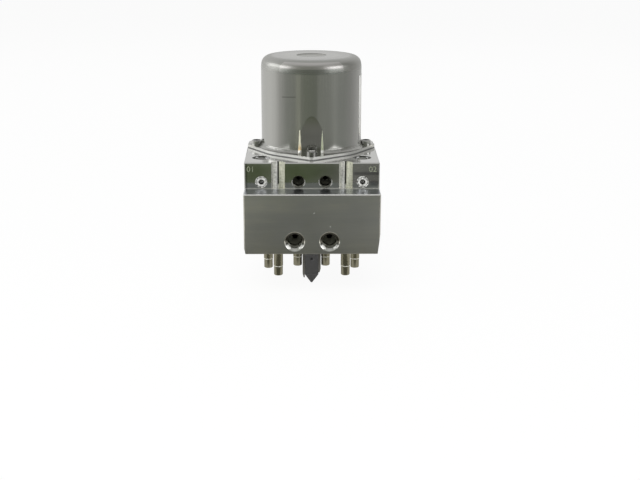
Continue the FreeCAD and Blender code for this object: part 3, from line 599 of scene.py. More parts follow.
def tapering_highlight(tree, x, half_width):
    """An upright painted highlight streak on the can's foot that narrows towards its top."""
    lean = 0.06
    shift = lean * (FLANGE_TOP + 2 * MM)
    return all_of(
        tree,
        slab(tree, (1.0, 0.0, -lean), x - half_width - shift, FAR, 0.4 * MM),
        slab(tree, (1.0, 0.0, lean), -FAR, x + half_width + shift, 0.4 * MM),
    )


def can_top_masks(tree):
    """The top's outer ring, darkened towards its edge as a painted darker reflection, the painted
    shade in the dimpled ring round its dish, and the dish.
    """
    shaded_rim = all_of(
        tree,
        about_motor(tree, 20 * MM, 34 * MM, 9 * MM),
        slab(tree, ALONG_Z, CAN_TOP - 1.3 * MM, FAR, 1 * MM),
    )
    dimple_shade = all_of(
        tree,
        about_motor(tree, 10.7 * MM, 11.7 * MM),
        slab(tree, ALONG_Z, CAN_TOP - 1.3 * MM, FAR, 0.2 * MM),
    )
    dish = all_of(
        tree,
        about_motor(tree, -FAR, 11.2 * MM),
        slab(tree, ALONG_Z, CAN_TOP - 2.3 * MM, FAR, 0.2 * MM),
    )
    return shaded_rim, dimple_shade, dish


def can_wall_masks(tree):
    """A scratch, a painted dark reflection on the front of the lead-in to the shoulder, and the
    dents over two of the screws; the front one's upper part takes painted light.
    """
    scratch_lean = 0.072
    scratch = all_of(
        tree,
        slab(tree, ALONG_X, -22.5 * MM, -11.5 * MM, 0.6 * MM),
        slab(tree, (-scratch_lean, 0.0, 1.0), 110.15 * MM, 110.75 * MM, 0.2 * MM),
        slab(tree, ALONG_Y, -FAR, 0.0),
    )
    lead_in_dark_reflection = all_of(
        tree,
        slab(tree, ALONG_Z, CAN_TOP - 10.7 * MM, CAN_TOP - 5.7 * MM, 1.0 * MM),
        slab(tree, ALONG_Y, -FAR, -27 * MM, 6 * MM),
    )
    pressed_in = CAN_RADIUS - 0.01 * MM
    dent_light = all_of(
        tree,
        slab(tree, ALONG_Y, -FAR, -30 * MM),
        slab(tree, ALONG_Z, 80 * MM, FAR, 12 * MM),
        about_motor(tree, 36 * MM, pressed_in, 0.03 * MM),
    )
    rear_dent = all_of(
        tree,
        slab(tree, ALONG_Y, 30 * MM, FAR),
        slab(tree, ALONG_Z, FLANGE_TOP + 1 * MM, 110 * MM),
        about_motor(tree, 30 * MM, pressed_in, 0.03 * MM),
    )
    return scratch, lead_in_dark_reflection, dent_light, rear_dent


def flange_masks(tree):
    """The flange's cut edge, and broken dark lines on its top."""
    edge = all_of(
        tree,
        slab(tree, ALONG_Z, 0.0, FLANGE_TOP - 0.1 * MM, 0.05 * MM),
        about_motor(tree, 41 * MM, FAR),
    )
    lines = all_of(
        tree,
        any_of(tree, about_motor(tree, 41.2 * MM, 42.2 * MM, 0.3 * MM),
               about_motor(tree, 44.4 * MM, 45.6 * MM, 0.3 * MM)),
        slab(tree, ALONG_Z, FLANGE_TOP - 0.1 * MM, FLANGE_TOP + 1 * MM),
        grain(tree, 180.0, 3.5),
    )
    return edge, lines


def foot_crease_highlights(tree):
    """The two painted highlight streaks that taper up the can's foot, their painted bright lower
    ends, and their tones.
    """
    crease_highlight = all_of(
        tree,
        slab(tree, ALONG_Y, -FAR, -30 * MM),
        slab(tree, ALONG_Z, FLANGE_TOP, FLANGE_TOP + 18 * MM, 0.2 * MM),
        any_of(tree, tapering_highlight(tree, -9.0 * MM, 1.4 * MM), tapering_highlight(tree, 7.9 * MM, 1.2 * MM)),
    )
    lower_end_highlight = all_of(tree, crease_highlight, slab(tree, ALONG_Z, 0.0, FLANGE_TOP + 3 * MM, 1 * MM))
    # The painted highlights' tone: amber low down, and greenish on the right streak.
    amber = slab(tree, ALONG_Z, 0.0, FLANGE_TOP + 8 * MM, 5 * MM)
    tone = mix_colour(tree, amber, (0.80, 0.78, 0.62), (0.88, 0.66, 0.36))
    tone = mix_colour(tree, slab(tree, ALONG_X, 0.0, FAR), tone, (0.56, 0.60, 0.44))
    return crease_highlight, lower_end_highlight, tone


def drawn_steel():
    """The motor can: satin steel with upright drawing lines and one dark scratch, with painted
    highlights, painted shade and painted reflections.
    """
    colour = (0.56, 0.56, 0.54)
    made, tree, shader = base_material("Drawn Steel", colour, 1.0, 0.12)
    shaded_rim, dimple_shade, dish = can_top_masks(tree)
    scratch, lead_in_dark_reflection, dent_light, rear_dent = can_wall_masks(tree)
    flange_edge, dark_flange_lines = flange_masks(tree)
    crease_highlight, crease_end_highlight, crease_highlight_tone = foot_crease_highlights(tree)
    bend = all_of(
        tree,
        about_motor(tree, 29 * MM, FAR, 3 * MM),
        slab(tree, ALONG_Z, CAN_TOP - 11.3 * MM, FAR, 4 * MM),
    )
    foot = all_of(
        tree,
        about_motor(tree, CAN_RADIUS + 0.05 * MM, 48 * MM, 0.3 * MM),
        slab(tree, ALONG_Z, FLANGE_TOP - 0.5 * MM, FLANGE_TOP + 6 * MM, 1 * MM),
    )
    lines = grain(tree, 900.0, 1.3, (1.0, 1.0, 0.03))
    # Painted over the steel: shade towards the top's edge and in its dimpled ring, light on the
    # front pocket's upper part, a dark reflection on the lead-in's front, and the highlight streaks
    # up the foot.
    tone = painted(
        tree, mix_colour(tree, lines, (0.52, 0.52, 0.50), colour),
        (shaded_rim, (0.40, 0.40, 0.39)), (scratch, (0.20, 0.20, 0.18)), (dish, (0.68, 0.68, 0.66)),
        (dimple_shade, (0.13, 0.13, 0.12)), (dent_light, (0.74, 0.72, 0.71)), (rear_dent, (0.26, 0.26, 0.25)),
        (lead_in_dark_reflection, (0.42, 0.43, 0.41)), (flange_edge, (0.75, 0.75, 0.73)),
        (dark_flange_lines, (0.22, 0.22, 0.21)), (crease_highlight, crease_highlight_tone), (crease_end_highlight, (1.0, 1.0, 0.97)),
    )
    link(tree, tone, shader.inputs["Base Color"])
    gloss = graded(tree, film(tree, 28.0, 0.10, 0.17), (bend, 0.34), (dish, 0.50),
                   (any_of(tree, crease_highlight, flange_edge), 0.42))
    link(tree, gloss, shader.inputs["Roughness"])
    bare = graded(tree, 1.0, (flange_edge, 0.65), (crease_highlight, 0.2))
    link(tree, bare, shader.inputs["Metallic"])
    line_depth, wave_depth = 3.0e-6, 4.5e-4
    waves = all_of(tree, grain(tree, 150.0, 1.6, (1.0, 1.0, 1.6)), foot)
    height = math_node(tree, "ADD", math_node(tree, "MULTIPLY", lines, line_depth),
                       math_node(tree, "MULTIPLY", waves, wave_depth))
    add_bump(tree, shader, height, 1.0)
    return made


def tube_steel():
    """The valves' tubes: ground steel with a painted highlight line at the step near the end."""
    colour = (0.62, 0.60, 0.50)
    made, tree, shader = base_material("Ground Tube Steel", colour, 1.0, 0.16)
    lines = grain(tree, 1500.0, 1.0, (0.02, 0.02, 1.0))
    # A painted highlight line at the step.
    step = slab(tree, ALONG_Z, -15.2 * MM, -14.4 * MM, 0.1 * MM)
    ground = mix_colour(tree, lines, (0.54, 0.52, 0.43), colour)
    link(tree, mix_colour(tree, step, ground, (0.95, 0.95, 0.90)), shader.inputs["Base Color"])
    gloss = blend_value(tree, step, film(tree, 60.0, 0.12, 0.2), 0.45)
    link(tree, gloss, shader.inputs["Roughness"])
    link(tree, blend_value(tree, step, 1.0, 0.5), shader.inputs["Metallic"])
    add_bump(tree, shader, lines, 2.0e-6)
    return made


def screw_steel():
    """The motor screws: pale plating with painted shade in the rear and side screws' sockets, a
    plain grey socket in the front screw, and the front screw painted darker as painted shade.
    """
    pale = (0.66, 0.66, 0.65)
    made, tree, shader = base_material("Zinc Plated Steel", pale, 1.0, 0.22)
    depths = slab(tree, ALONG_Z, FLANGE_TOP + 1.0 * MM, FLANGE_TOP + 3.1 * MM, 0.05 * MM)
    rear, side, front = (
        disc(tree, place, FACING_UP, 3.02 * MM, 0.05 * MM)
        for place in ((0.0, SCREW_CIRCLE, 0.0), (SCREW_CIRCLE, 0.0, 0.0), (0.0, -SCREW_CIRCLE, 0.0))
    )
    # Painted shade in the rear and side screws' sockets.
    socket = all_of(tree, any_of(tree, rear, side), depths)
    front_socket = all_of(tree, front, depths)
    # The front screw painted darker, as painted shade.
    front_screw_shade = slab(tree, ALONG_Y, -FAR, -36 * MM)
    tone = painted(tree, pale, (front_screw_shade, (0.36, 0.36, 0.35)),
                   (front_socket, (0.60, 0.60, 0.58)), (socket, (0.03, 0.03, 0.03)))
    link(tree, tone, shader.inputs["Base Color"])
    link(tree, film(tree, 120.0, 0.16, 0.30), shader.inputs["Roughness"])
    bare = graded(tree, 1.0, (socket, 0.4), (front_socket, 0.2))
    link(tree, bare, shader.inputs["Metallic"])
    add_bump(tree, shader, grain(tree, 1500.0, 1.0), 3.0e-6)
    return made


def sleeve_steel():
    """The pressed plugs' sleeves: a face painted white as a broken painted highlight, between
    painted shade in the bore and painted shade round the outer edge.
    """
    bright = (0.96, 0.96, 0.94)
    made, tree, shader = base_material("Pressed Sleeve Steel", bright, 0.1, 0.3)
    # Painted shade in the bore and round the outer edge; the white face with darker patches is a
    # painted highlight.
    inner = disc(tree, PLUG, FACING_FRONT, 2.05 * MM, 0.1 * MM)
    shaded_rim = ring(tree, PLUG, FACING_FRONT, 3.45 * MM, 3.75 * MM, 0.1 * MM)
    tone = mix_colour(tree, grain(tree, 420.0, 5.0), (0.42, 0.42, 0.40), bright)
    tone = mix_colour(tree, any_of(tree, inner, shaded_rim), tone, (0.10, 0.10, 0.09))
    link(tree, tone, shader.inputs["Base Color"])
    link(tree, film(tree, 400.0, 0.2, 0.45), shader.inputs["Roughness"])
    add_bump(tree, shader, grain(tree, 700.0, 2.0), 4.0e-5)
    return made


turned_lines = (0.02, 0.02, 1.0)
finish = {
    "block": milled_aluminium(),
    "can": drawn_steel(),
    "tube": tube_steel(),
    "ground": metal("Ground Steel", (0.62, 0.62, 0.61), 0.15, turned_lines, 1500.0),
    "screw": screw_steel(),
    "sleeve": sleeve_steel(),
    "ball": metal("Polished Ball Steel", (0.40, 0.40, 0.39), 0.08, depth=5e-7),
    # Darker than the block: painted shade inside the ports.
    "thread": metal("Cut Thread Aluminium", (0.50, 0.50, 0.45), 0.25),
    "plug": metal("Turned Plug Aluminium", (0.50, 0.50, 0.49), 0.24, EVEN, 700.0),
    "cap": metal("Plated Cap Steel", (0.44, 0.44, 0.42), 0.28),
    "piston": metal("Anodised Piston Aluminium", (0.60, 0.60, 0.62), 0.3),
    "spring": metal("Spring Steel", (0.42, 0.42, 0.43), 0.3),
    "core": metal("Core Laminations", (0.34, 0.34, 0.35), 0.42, turned_lines, 1900.0, 1.6),
    "copper": metal("Enamelled Copper", (0.60, 0.24, 0.11), 0.28, EVEN, 1300.0),
    "commutator": metal("Turned Copper", (0.78, 0.42, 0.26), 0.22, turned_lines, 1500.0),
    "bronze": metal("Sintered Bronze", (0.56, 0.40, 0.20), 0.5),
    "contact": metal("Tin Plated Steel", (0.38, 0.38, 0.39), 0.32, (1.0, 1.0, 0.05), 900.0),
    "moulding": plain("Black Moulding", (0.030, 0.030, 0.032), 0.42),
    "plug_moulding": plain("Grey Moulding", (0.115, 0.115, 0.122), 0.40),
    "gasket": plain("Gasket Rubber", (0.17, 0.17, 0.17), 0.6),
    "carbon": plain("Brush Carbon", (0.022, 0.022, 0.023), 0.5),
    "ferrite": plain("Magnet Ferrite", (0.045, 0.045, 0.048), 0.5),
    "label": plain("Blank Label Film", (0.80, 0.80, 0.78), 0.35, 0.0, 2e-6),
    "stamp": plain("Stamped Mark", (0.56, 0.60, 0.48), 0.5, 0.85),
}

node_finish = {
    "valve_block": "block",
    "motor_can": "can",
    "motor_gasket": "gasket",
    "motor_screws": "screw",
    "armature_core": "core",
    "armature_windings": "copper",
    "commutator": "commutator",
    "rotor_shaft": "ground",
    "eccentric_ring": "ground",
    "upper_bush": "bronze",
    "lower_bearing": "ground",
    "brush_plate": "moulding",
    "brush_": "carbon",
    "magnet_": "ferrite",
    "motor_plug": "plug_moulding",
    "contact_": "contact",
    "sealing_sleeves": "sleeve",
    "sealing_balls": "ball",
    "pump_piston_": "ground",
    "pump_sleeve_": "ground",
    "pump_plug_": "plug",
    "piston_spring_": "spring",
    "accumulator_spring_": "spring",
    "accumulator_piston_": "piston",
    "accumulator_cap_": "cap",
}


def dress_solids():
    """Gives each CAD node the finish of the longest key that starts its name, or the tubes'."""
    for name, solid in nodes.items():
        keys = [key for key in node_finish if name.startswith(key)]
        kind = node_finish[max(keys, key=len)] if keys else "tube"
        solid.data.materials.clear()
        solid.data.materials.append(finish[kind])


def shorten_springs():
    """Gives its own mesh to each spring that a joint shortens towards its fixed end as its piston
    slides into it.
    """
    for joint in frame["record"]["behaviour"]["joints"]:
        for spring in joint.get("deforming_nodes", []):
            axis, name = spring["mode"][-1], spring["node"]
            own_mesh(nodes[name])


# Pieces that only the visual model has

def placed(name, data):
    """A new object in the scene."""
    made = bpy.data.objects.new(name, data)
    bpy.context.scene.collection.objects.link(made)
    return made


def new_piece(name, mesh, material, body="unit"):
    """Puts a finished mesh in the scene and lets it ride on its body."""
    mesh.materials.clear()
    mesh.materials.append(material)
    piece = placed(name, mesh)
    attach(piece, body)
    return piece


def put_out(tree, shape, start, end):
    """Makes a tree's instances real, gives them their material and puts them out."""
    real = tree.nodes.new("GeometryNodeRealizeInstances")
    link(tree, shape, real.inputs["Geometry"])
    paint = tree.nodes.new("GeometryNodeSetMaterial")
    link(tree, real.outputs["Geometry"], paint.inputs["Geometry"])
    link(tree, start.outputs["Material"], paint.inputs["Material"])
    link(tree, paint.outputs["Geometry"], end.inputs["Geometry"])


def thread_tree():
    """Geometry Nodes: the ridge of an internal thread, round +Z from the origin."""
    tree, start, end = new_group(
        "Thread Ridge",
        [("Radius", "NodeSocketFloat", 5.0 * MM),
         ("Pitch", "NodeSocketFloat", 1.0 * MM),
         ("Turns", "NodeSocketFloat", 8.0),
         ("Ridge", "NodeSocketFloat", 0.3 * MM),
         ("Material", "NodeSocketMaterial", None)],
        [("Geometry", "NodeSocketGeometry")],
        "GeometryNodeTree",
    )
    spiral = add_node(tree, "GeometryNodeCurveSpiral", {"Resolution": 36})
    height = math_node(tree, "MULTIPLY", start.outputs["Pitch"], start.outputs["Turns"])
    link(tree, start.outputs["Turns"], spiral.inputs["Rotations"])
    link(tree, start.outputs["Radius"], spiral.inputs["Start Radius"])
    link(tree, start.outputs["Radius"], spiral.inputs["End Radius"])
    link(tree, height, spiral.inputs["Height"])
    section = add_node(tree, "GeometryNodeCurvePrimitiveCircle", {"Resolution": 4})
    link(tree, start.outputs["Ridge"], section.inputs["Radius"])
    sweep = add_node(tree, "GeometryNodeCurveToMesh", {"Fill Caps": True})
    link(tree, spiral.outputs["Curve"], sweep.inputs["Curve"])
    link(tree, section.outputs["Curve"], sweep.inputs["Profile Curve"])
    put_out(tree, sweep.outputs["Mesh"], start, end)
    return tree


def stake_tree():
    """Geometry Nodes: a ring of punch marks round a pressed plug, in the XY plane."""
    tree, start, end = new_group(
        "Staking Ring",
        [("Radius", "NodeSocketFloat", 4.0 * MM),
         ("Count", "NodeSocketInt", 10),
         ("Length", "NodeSocketFloat", 1.6 * MM),
         ("Width", "NodeSocketFloat", 0.7 * MM),
         ("Rise", "NodeSocketFloat", 0.5 * MM),
         ("Seed", "NodeSocketInt", 3),
         ("Material", "NodeSocketMaterial", None)],
        [("Geometry", "NodeSocketGeometry")],
        "GeometryNodeTree",
    )
    circle = tree.nodes.new("GeometryNodeCurvePrimitiveCircle")
    link(tree, start.outputs["Radius"], circle.inputs["Radius"])
    points = add_node(tree, "GeometryNodeCurveToPoints", mode="COUNT")
    link(tree, circle.outputs["Curve"], points.inputs["Curve"])
    link(tree, start.outputs["Count"], points.inputs["Count"])
    bead = add_node(tree, "GeometryNodeMeshUVSphere", {"Segments": 14, "Rings": 8, "Radius": 0.5})
    size = tree.nodes.new("ShaderNodeCombineXYZ")
    for name, axis in (("Rise", "X"), ("Width", "Y"), ("Length", "Z")):
        link(tree, start.outputs[name], size.inputs[axis])
    vary = add_node(tree, "FunctionNodeRandomValue", data_type="FLOAT")
    smallest, largest = 0.75, 1.2
    limits = [socket for socket in vary.inputs if socket.type == "VALUE"]
    for socket, value in zip(limits, (smallest, largest)):
        socket.default_value = value
    link(tree, start.outputs["Seed"], vary.inputs["Seed"])
    sized = add_node(tree, "ShaderNodeVectorMath", operation="SCALE")
    link(tree, size.outputs[0], sized.inputs[0])
    drawn = [socket for socket in vary.outputs if socket.type == "VALUE"]
    link(tree, drawn[0], sized.inputs["Scale"])
    place = tree.nodes.new("GeometryNodeInstanceOnPoints")
    link(tree, points.outputs["Points"], place.inputs["Points"])
    link(tree, bead.outputs["Mesh"], place.inputs["Instance"])
    link(tree, points.outputs["Rotation"], place.inputs["Rotation"])
    link(tree, sized.outputs[0], place.inputs["Scale"])
    put_out(tree, place.outputs["Instances"], start, end)
    return tree


def plain_mesh(carrier):
    """The finished mesh of an object, which is then removed."""
    bpy.context.view_layer.update()
    evaluated = carrier.evaluated_get(bpy.context.evaluated_depsgraph_get())
    mesh = bpy.data.meshes.new_from_object(evaluated)
    bpy.data.objects.remove(carrier)
    return mesh


def mesh_from_tree(tree, values):
    """Runs a Geometry Nodes tree with these inputs and returns a plain mesh."""
    carrier = placed("Carrier", bpy.data.meshes.new("Carrier"))
    modifier = carrier.modifiers.new("Nodes", "NODES")
    modifier.node_group = tree
    for item in tree.interface.items_tree:
        if item.in_out == "INPUT" and item.name in values:
            modifier[item.identifier] = values[item.name]
    return plain_mesh(carrier)


def turn_to(axis, place):
    """The transform that takes +Z at the origin to an axis at a place."""
    turn = Vector((0, 0, 1)).rotation_difference(Vector(axis)).to_matrix().to_4x4()
    return Matrix.Translation(Vector(place)) @ turn


def joined(meshes):
    """One mesh from several."""
    whole = bmesh.new()
    for mesh in meshes:
        whole.from_mesh(mesh)
    result = bpy.data.meshes.new("Joined")
    whole.to_mesh(result)
    whole.free()
    return result


def port_threads():
    """The threads that the brake pipes' nuts turn into."""
    tree = thread_tree()
    fine = {"Radius": 4.56 * MM, "Pitch": 1.0 * MM, "Turns": 9.5, "Ridge": 0.34 * MM}
    large = {"Radius": 5.60 * MM, "Pitch": 1.0 * MM, "Turns": 10.0, "Ridge": 0.36 * MM}
    ports = []
    for side in (-1, 1):
        main = (side * MAIN_PORT[0], FRONT_Y + 2.1 * MM, MAIN_PORT[2])
        recess = (side * RECESS_PORT[0], RECESS_Y + 1.2 * MM, RECESS_PORT[2])
        top = (side * TOP_PORT[0], TOP_PORT[1], BLOCK_TOP - 1.9 * MM)
        ports += [(large, (0, 1, 0), main), (fine, (0, 1, 0), recess), (fine, (0, 0, -1), top)]
    threads = []
    for sizes, axis, place in ports:
        mesh = mesh_from_tree(tree, dict(sizes, Material=finish["thread"]))
        mesh.transform(turn_to(axis, place))
        threads.append(mesh)
    new_piece("port_threads", joined(threads), finish["thread"])


def staking_marks():
    """Punched marks that hold the pressed plugs in their holes, in the sleeves' finish, whose white
    is a painted highlight.
    """
    tree = stake_tree()
    marks = []
    for side in (-1, 1):
        sizes = {"Radius": 4.05 * MM, "Count": 9, "Length": 2.9 * MM, "Width": 1.1 * MM,
                 "Rise": 0.7 * MM, "Seed": 5 + side, "Material": finish["sleeve"]}
        mesh = mesh_from_tree(tree, sizes)
        mesh.transform(turn_to((0, -1, 0), (side * PLUG[0], RECESS_Y + 0.1 * MM, PLUG[2])))
        marks.append(mesh)
    new_piece("staking_marks", joined(marks), finish["sleeve"])


def blank_label():
    """A bare film label wrapped round the can's right side."""
    low, high = FLANGE_TOP + 2.8 * MM, CAN_TOP - 14.0 * MM
    first, last = math.radians(69.5), math.radians(128.0)
    radius = CAN_RADIUS + 0.06 * MM
    steps = 40
    mesh = bpy.data.meshes.new("Label")
    shape = bmesh.new()
    columns = []
    for step in range(steps + 1):
        angle = first + (last - first) * step / steps
        x, y = radius * math.sin(angle), -radius * math.cos(angle)
        columns.append([shape.verts.new((x, y, low)), shape.verts.new((x, y, high))])
    for left, right in zip(columns, columns[1:]):
        shape.faces.new((left[0], right[0], right[1], left[1]))
    for face in shape.faces:
        face.smooth = True
    shape.to_mesh(mesh)
    shape.free()
    label = new_piece("blank_label", mesh, finish["label"])
    wall = label.modifiers.new("Film", "SOLIDIFY")
    wall.thickness = 0.08 * MM
    wall.offset = 1.0


def port_numbers():
    """Plain digits stamped beside the plugs in the recess."""
    height, rise, line = 5.8 * MM, 0.05 * MM, 57.6 * MM
    stand = Matrix.Rotation(math.radians(90), 4, "X")
    meshes = []
    for text, x in (("01", -45.3 * MM), ("02", 44.9 * MM)):
        curve = bpy.data.curves.new("Digit", "FONT")
        curve.body = text
        curve.size = height
        curve.align_x = "CENTER"
        curve.extrude = rise
        mesh = plain_mesh(placed("Digit", curve))
        mesh.transform(Matrix.Translation((x, RECESS_Y, line)) @ stand)
        meshes.append(mesh)
    new_piece("port_numbers", joined(meshes), finish["stamp"])


# Studio

def shown_to_camera(tree, share, surface, backdrop):
    """Lays a share of a backdrop over a surface, for camera rays only."""
    path = tree.nodes.new("ShaderNodeLightPath")
    seen = math_node(tree, "MULTIPLY", path.outputs["Is Camera Ray"], share)
    blend = tree.nodes.new("ShaderNodeMixShader")
    link(tree, seen, blend.inputs[0])
    link(tree, surface, blend.inputs[1])
    link(tree, backdrop, blend.inputs[2])
    return blend.outputs[0]


def level_mesh(name, height, make, **sizes):
    """A level sheet at a height, from one of bmesh's plain shapes."""
    mesh = bpy.data.meshes.new(name)
    shape = bmesh.new()
    make(shape, **sizes)
    shape.to_mesh(mesh)
    shape.free()
    mesh.transform(Matrix.Translation((0, 0, height)))
    return mesh


def floor():
    """A pale floor that the camera sees as white and that keeps the shadow."""
    half_width, drop, white_share = 6.0, 0.2 * MM, 0.93
    mesh = level_mesh("Floor", FLOOR_Z - drop, bmesh.ops.create_grid, x_segments=1,
                      y_segments=1, size=half_width)
    made, tree, shader = base_material("Studio Floor", (0.88, 0.88, 0.88), 0.0, 0.9)
    shader.inputs["Specular IOR Level"].default_value = 0.0
    glow = add_node(tree, "ShaderNodeEmission", {"Color": (1, 1, 1, 1), "Strength": 1.0})
    surface = shown_to_camera(tree, white_share, shader.outputs[0], glow.outputs[0])
    link(tree, surface, tree.nodes["Material Output"].inputs["Surface"])
    mesh.materials.append(made)
    ground = placed("floor", mesh)


def colour_ramp(tree, source, stops):
    """A ramp through (position, colour) stops, read at a value from 0 to 1."""
    made = tree.nodes.new("ShaderNodeValToRGB")
    link(tree, source, made.inputs["Fac"])
    ends = made.color_ramp.elements
    for element, (position, colour) in zip((ends[0], ends[1]), (stops[0], stops[-1])):
        element.position = position
        element.color = colour + (1.0,)
    for position, colour in stops[1:-1]:
        ends.new(position).color = colour + (1.0,)
    return made.outputs["Color"]


def bearing(tree, direction):
    """How far a direction turns from the front towards +X: 0.5 is the front."""
    parts = tree.nodes.new("ShaderNodeSeparateXYZ")
    link(tree, direction, parts.inputs[0])
    ahead = math_node(tree, "MULTIPLY", parts.outputs["Y"], -1.0)
    angle = math_node(tree, "ARCTAN2", parts.outputs["X"], ahead)
    turn = math_node(tree, "ADD", math_node(tree, "DIVIDE", angle, 2 * math.pi), 0.5)
    return turn, parts.outputs["Z"]


# Tones of the stage in reflections, by bearing
CARD_STOPS = [
    (0.0, (0.66, 0.66, 0.65)), (0.10, (0.70, 0.70, 0.69)), (0.20, (0.77, 0.77, 0.75)),
    (0.25, (0.68, 0.68, 0.66)), (0.29, (0.46, 0.46, 0.44)), (0.34, (0.30, 0.31, 0.285)),
    (0.395, (0.265, 0.275, 0.245)), (0.41, (0.33, 0.34, 0.29)), (0.425, (0.325, 0.335, 0.28)),
    (0.435, (0.24, 0.25, 0.215)), (0.46, (0.21, 0.225, 0.185)), (0.53, (0.192, 0.204, 0.172)),
    (0.545, (0.27, 0.28, 0.25)), (0.61, (0.27, 0.28, 0.255)), (0.65, (0.33, 0.34, 0.315)),
    (0.68, (0.285, 0.295, 0.275)), (0.72, (0.285, 0.295, 0.275)), (0.78, (0.34, 0.34, 0.33)),
    (0.84, (0.45, 0.45, 0.44)), (1.0, (0.66, 0.66, 0.65)),
]
STRIP_STOPS = [
    (0.0, (0.15, 0.15, 0.14)), (0.44, (0.074, 0.090, 0.046)), (0.50, (0.066, 0.084, 0.042)),
    (0.512, (0.054, 0.060, 0.042)), (0.515, (0.16, 0.16, 0.15)), (1.0, (0.15, 0.15, 0.14)),
]
WORLD_STOPS = [
    (0.0, (0.63, 0.63, 0.62)), (0.20, (0.66, 0.66, 0.65)), (0.27, (0.32, 0.33, 0.30)),
    (0.42, (0.19, 0.20, 0.17)), (0.60, (0.18, 0.185, 0.165)), (0.78, (0.24, 0.24, 0.225)),
    (0.88, (0.50, 0.50, 0.49)), (1.0, (0.63, 0.63, 0.62)),
]


def card_colour(tree):
    """The card's tones: dark before the unit with a darker strip, pale round and behind it."""
    strip = all_of(
        tree,
        about_motor(tree, 400 * MM, 545 * MM, 8 * MM),
        slab(tree, ALONG_Y, -FAR, -330 * MM, 10 * MM),
    )
    streaked = all_of(
        tree,
        strip,
        slab(tree, ALONG_X, 45 * MM, FAR, 12 * MM),
        grain(tree, 4.0, 5.0, (1.0, 12.0, 0.0)),
    )
    front = all_of(
        tree,
        slab(tree, ALONG_Y, -402 * MM, -185 * MM, 4 * MM),
        slab(tree, ALONG_X, -85 * MM, 85 * MM, 10 * MM),
    )
    close = all_of(
        tree,
        slab(tree, ALONG_Y, -185 * MM, 100 * MM, 10 * MM),
        slab(tree, ALONG_X, -200 * MM, 200 * MM, 20 * MM),
    )
    pale = all_of(
        tree,
        about_motor(tree, -FAR, 385 * MM, 15 * MM),
        any_of(tree, slab(tree, ALONG_X, 92 * MM, FAR, 8 * MM),
               slab(tree, ALONG_X, -FAR, -92 * MM, 8 * MM),
               slab(tree, ALONG_Y, -97 * MM, FAR, 12 * MM)),
    )
    near = about_motor(tree, -FAR, 220 * MM, 30 * MM)
    pale_tone = mix_colour(tree, near, (1.20, 1.17, 1.04), (0.36, 0.35, 0.30))
    place = tree.nodes.new("ShaderNodeTexCoord")
    turn = bearing(tree, place.outputs["Object"])[0]
    return painted(
        tree, colour_ramp(tree, turn, CARD_STOPS),
        (strip, colour_ramp(tree, turn, STRIP_STOPS)), (streaked, (0.07, 0.07, 0.06)),
        (front, (0.190, 0.190, 0.176)), (close, (0.085, 0.083, 0.062)), (pale, pale_tone),
    )


def reflected_card():
    """A wide card on the floor that only reflections see."""
    radius, lift = 5.0, 0.1 * MM
    mesh = level_mesh("Card", FLOOR_Z + lift, bmesh.ops.create_circle, cap_ends=True,
                      segments=64, radius=radius)
    made = bpy.data.materials.new("Reflected Card")
    made.use_nodes = True
    tree = made.node_tree
    tree.nodes.remove(tree.nodes["Principled BSDF"])
    glow = add_node(tree, "ShaderNodeEmission", {"Strength": 1.0})
    link(tree, card_colour(tree), glow.inputs["Color"])
    link(tree, glow.outputs[0], tree.nodes["Material Output"].inputs["Surface"])
    mesh.materials.append(made)
    card = placed("reflected_card", mesh)
    card.visible_camera = False
    card.visible_shadow = False
    card.visible_diffuse = False
    card.visible_transmission = False


# Name, bearing and elevation in degrees, distance, width, height, radiance, seen in gloss
LAMPS = (
    ("Key", -85, 18, 1.6, 2.0, 0.7, 1.15, True),
    ("Fill", 56, 17, 1.5, 1.0, 0.6, 1.5, True),
    ("Front", -12, 46, 1.6, 1.2, 0.8, 6.0, False),
    ("Back", 175, 40, 1.7, 1.6, 0.9, 1.4, False),
)


def softbox(name, turn, elevation, distance, width, height, radiance, in_gloss):
    """A wide lamp with its long side level, as bright as its radiance says."""
    lamp = bpy.data.lights.new(name, "AREA")
    lamp.shape = "RECTANGLE"
    lamp.size = width
    lamp.size_y = height
    lamp.energy = radiance * math.pi * width * height
    turn, elevation = math.radians(turn), math.radians(elevation)
    level = math.cos(elevation)
    away = Vector((math.sin(turn) * level, -math.cos(turn) * level, math.sin(elevation)))
    unit_middle = Vector((0, 0, 50 * MM))
    aim = away.to_track_quat("Z", "Y").to_matrix().to_4x4()
    box = placed(name, lamp)
    box.matrix_world = Matrix.Translation(unit_middle + away * distance) @ aim
    box.visible_glossy = in_gloss


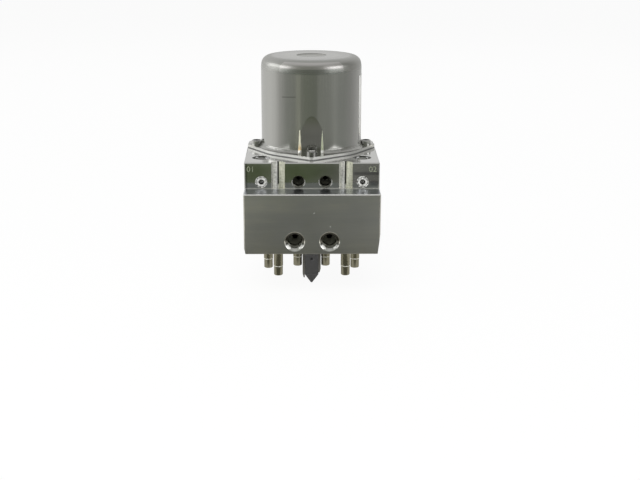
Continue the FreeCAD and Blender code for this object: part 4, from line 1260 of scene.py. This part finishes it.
def world():
    """Surroundings that are bright overhead and behind, and dark in front of the unit."""
    made = bpy.data.worlds.new("Studio")
    bpy.context.scene.world = made
    made.use_nodes = True
    tree = made.node_tree
    background = tree.nodes["Background"]
    place = tree.nodes.new("ShaderNodeTexCoord")
    turn, height = bearing(tree, place.outputs["Generated"])
    overhead = add_node(tree, "ShaderNodeMapRange", {"From Min": 0.55, "From Max": 0.92},
                        interpolation_type="SMOOTHSTEP")
    link(tree, height, overhead.inputs["Value"])
    around = colour_ramp(tree, turn, WORLD_STOPS)
    shade = mix_colour(tree, overhead.outputs["Result"], around, (0.50, 0.50, 0.49))
    link(tree, shade, background.inputs["Color"])
    white = add_node(tree, "ShaderNodeBackground", {"Color": (1, 1, 1, 1), "Strength": 1.0})
    surface = shown_to_camera(tree, 1.0, background.outputs[0], white.outputs[0])
    link(tree, surface, tree.nodes["World Output"].inputs["Surface"])


def camera():
    """The photograph's view: a 62 mm lens, from the front and above."""
    sensor_width, focal_pixels, image_width = 36.0, 1100, 640
    pitch, yaw, roll = 0.284, 0.018, 0.003
    place = Vector((-8.2 * MM, -850.6 * MM, 236.6 * MM))
    lens = bpy.data.cameras.new("Camera")
    lens.sensor_width = sensor_width
    lens.lens = sensor_width * focal_pixels / image_width
    lens.clip_start = 10 * MM
    level = Vector((math.sin(yaw), math.cos(yaw), 0))
    ahead = level * math.cos(pitch) - Vector((0, 0, 1)) * math.sin(pitch)
    right = Vector((math.cos(yaw), -math.sin(yaw), 0))
    up = right.cross(ahead)
    side = right * math.cos(roll) + up * math.sin(roll)
    top = up * math.cos(roll) - right * math.sin(roll)
    turn = Matrix((side, top, -ahead)).transposed().to_4x4()
    eye = placed("Camera", lens)
    eye.matrix_world = Matrix.Translation(place) @ turn
    bpy.context.scene.camera = eye


def main():
    dress_solids()
    shorten_springs()
    port_threads()
    staking_marks()
    blank_label()
    port_numbers()
    floor()
    reflected_card()
    world()
    for lamp in LAMPS:
        softbox(*lamp)
    camera()
    bpy.context.scene.view_settings.view_transform = "Standard"


main()
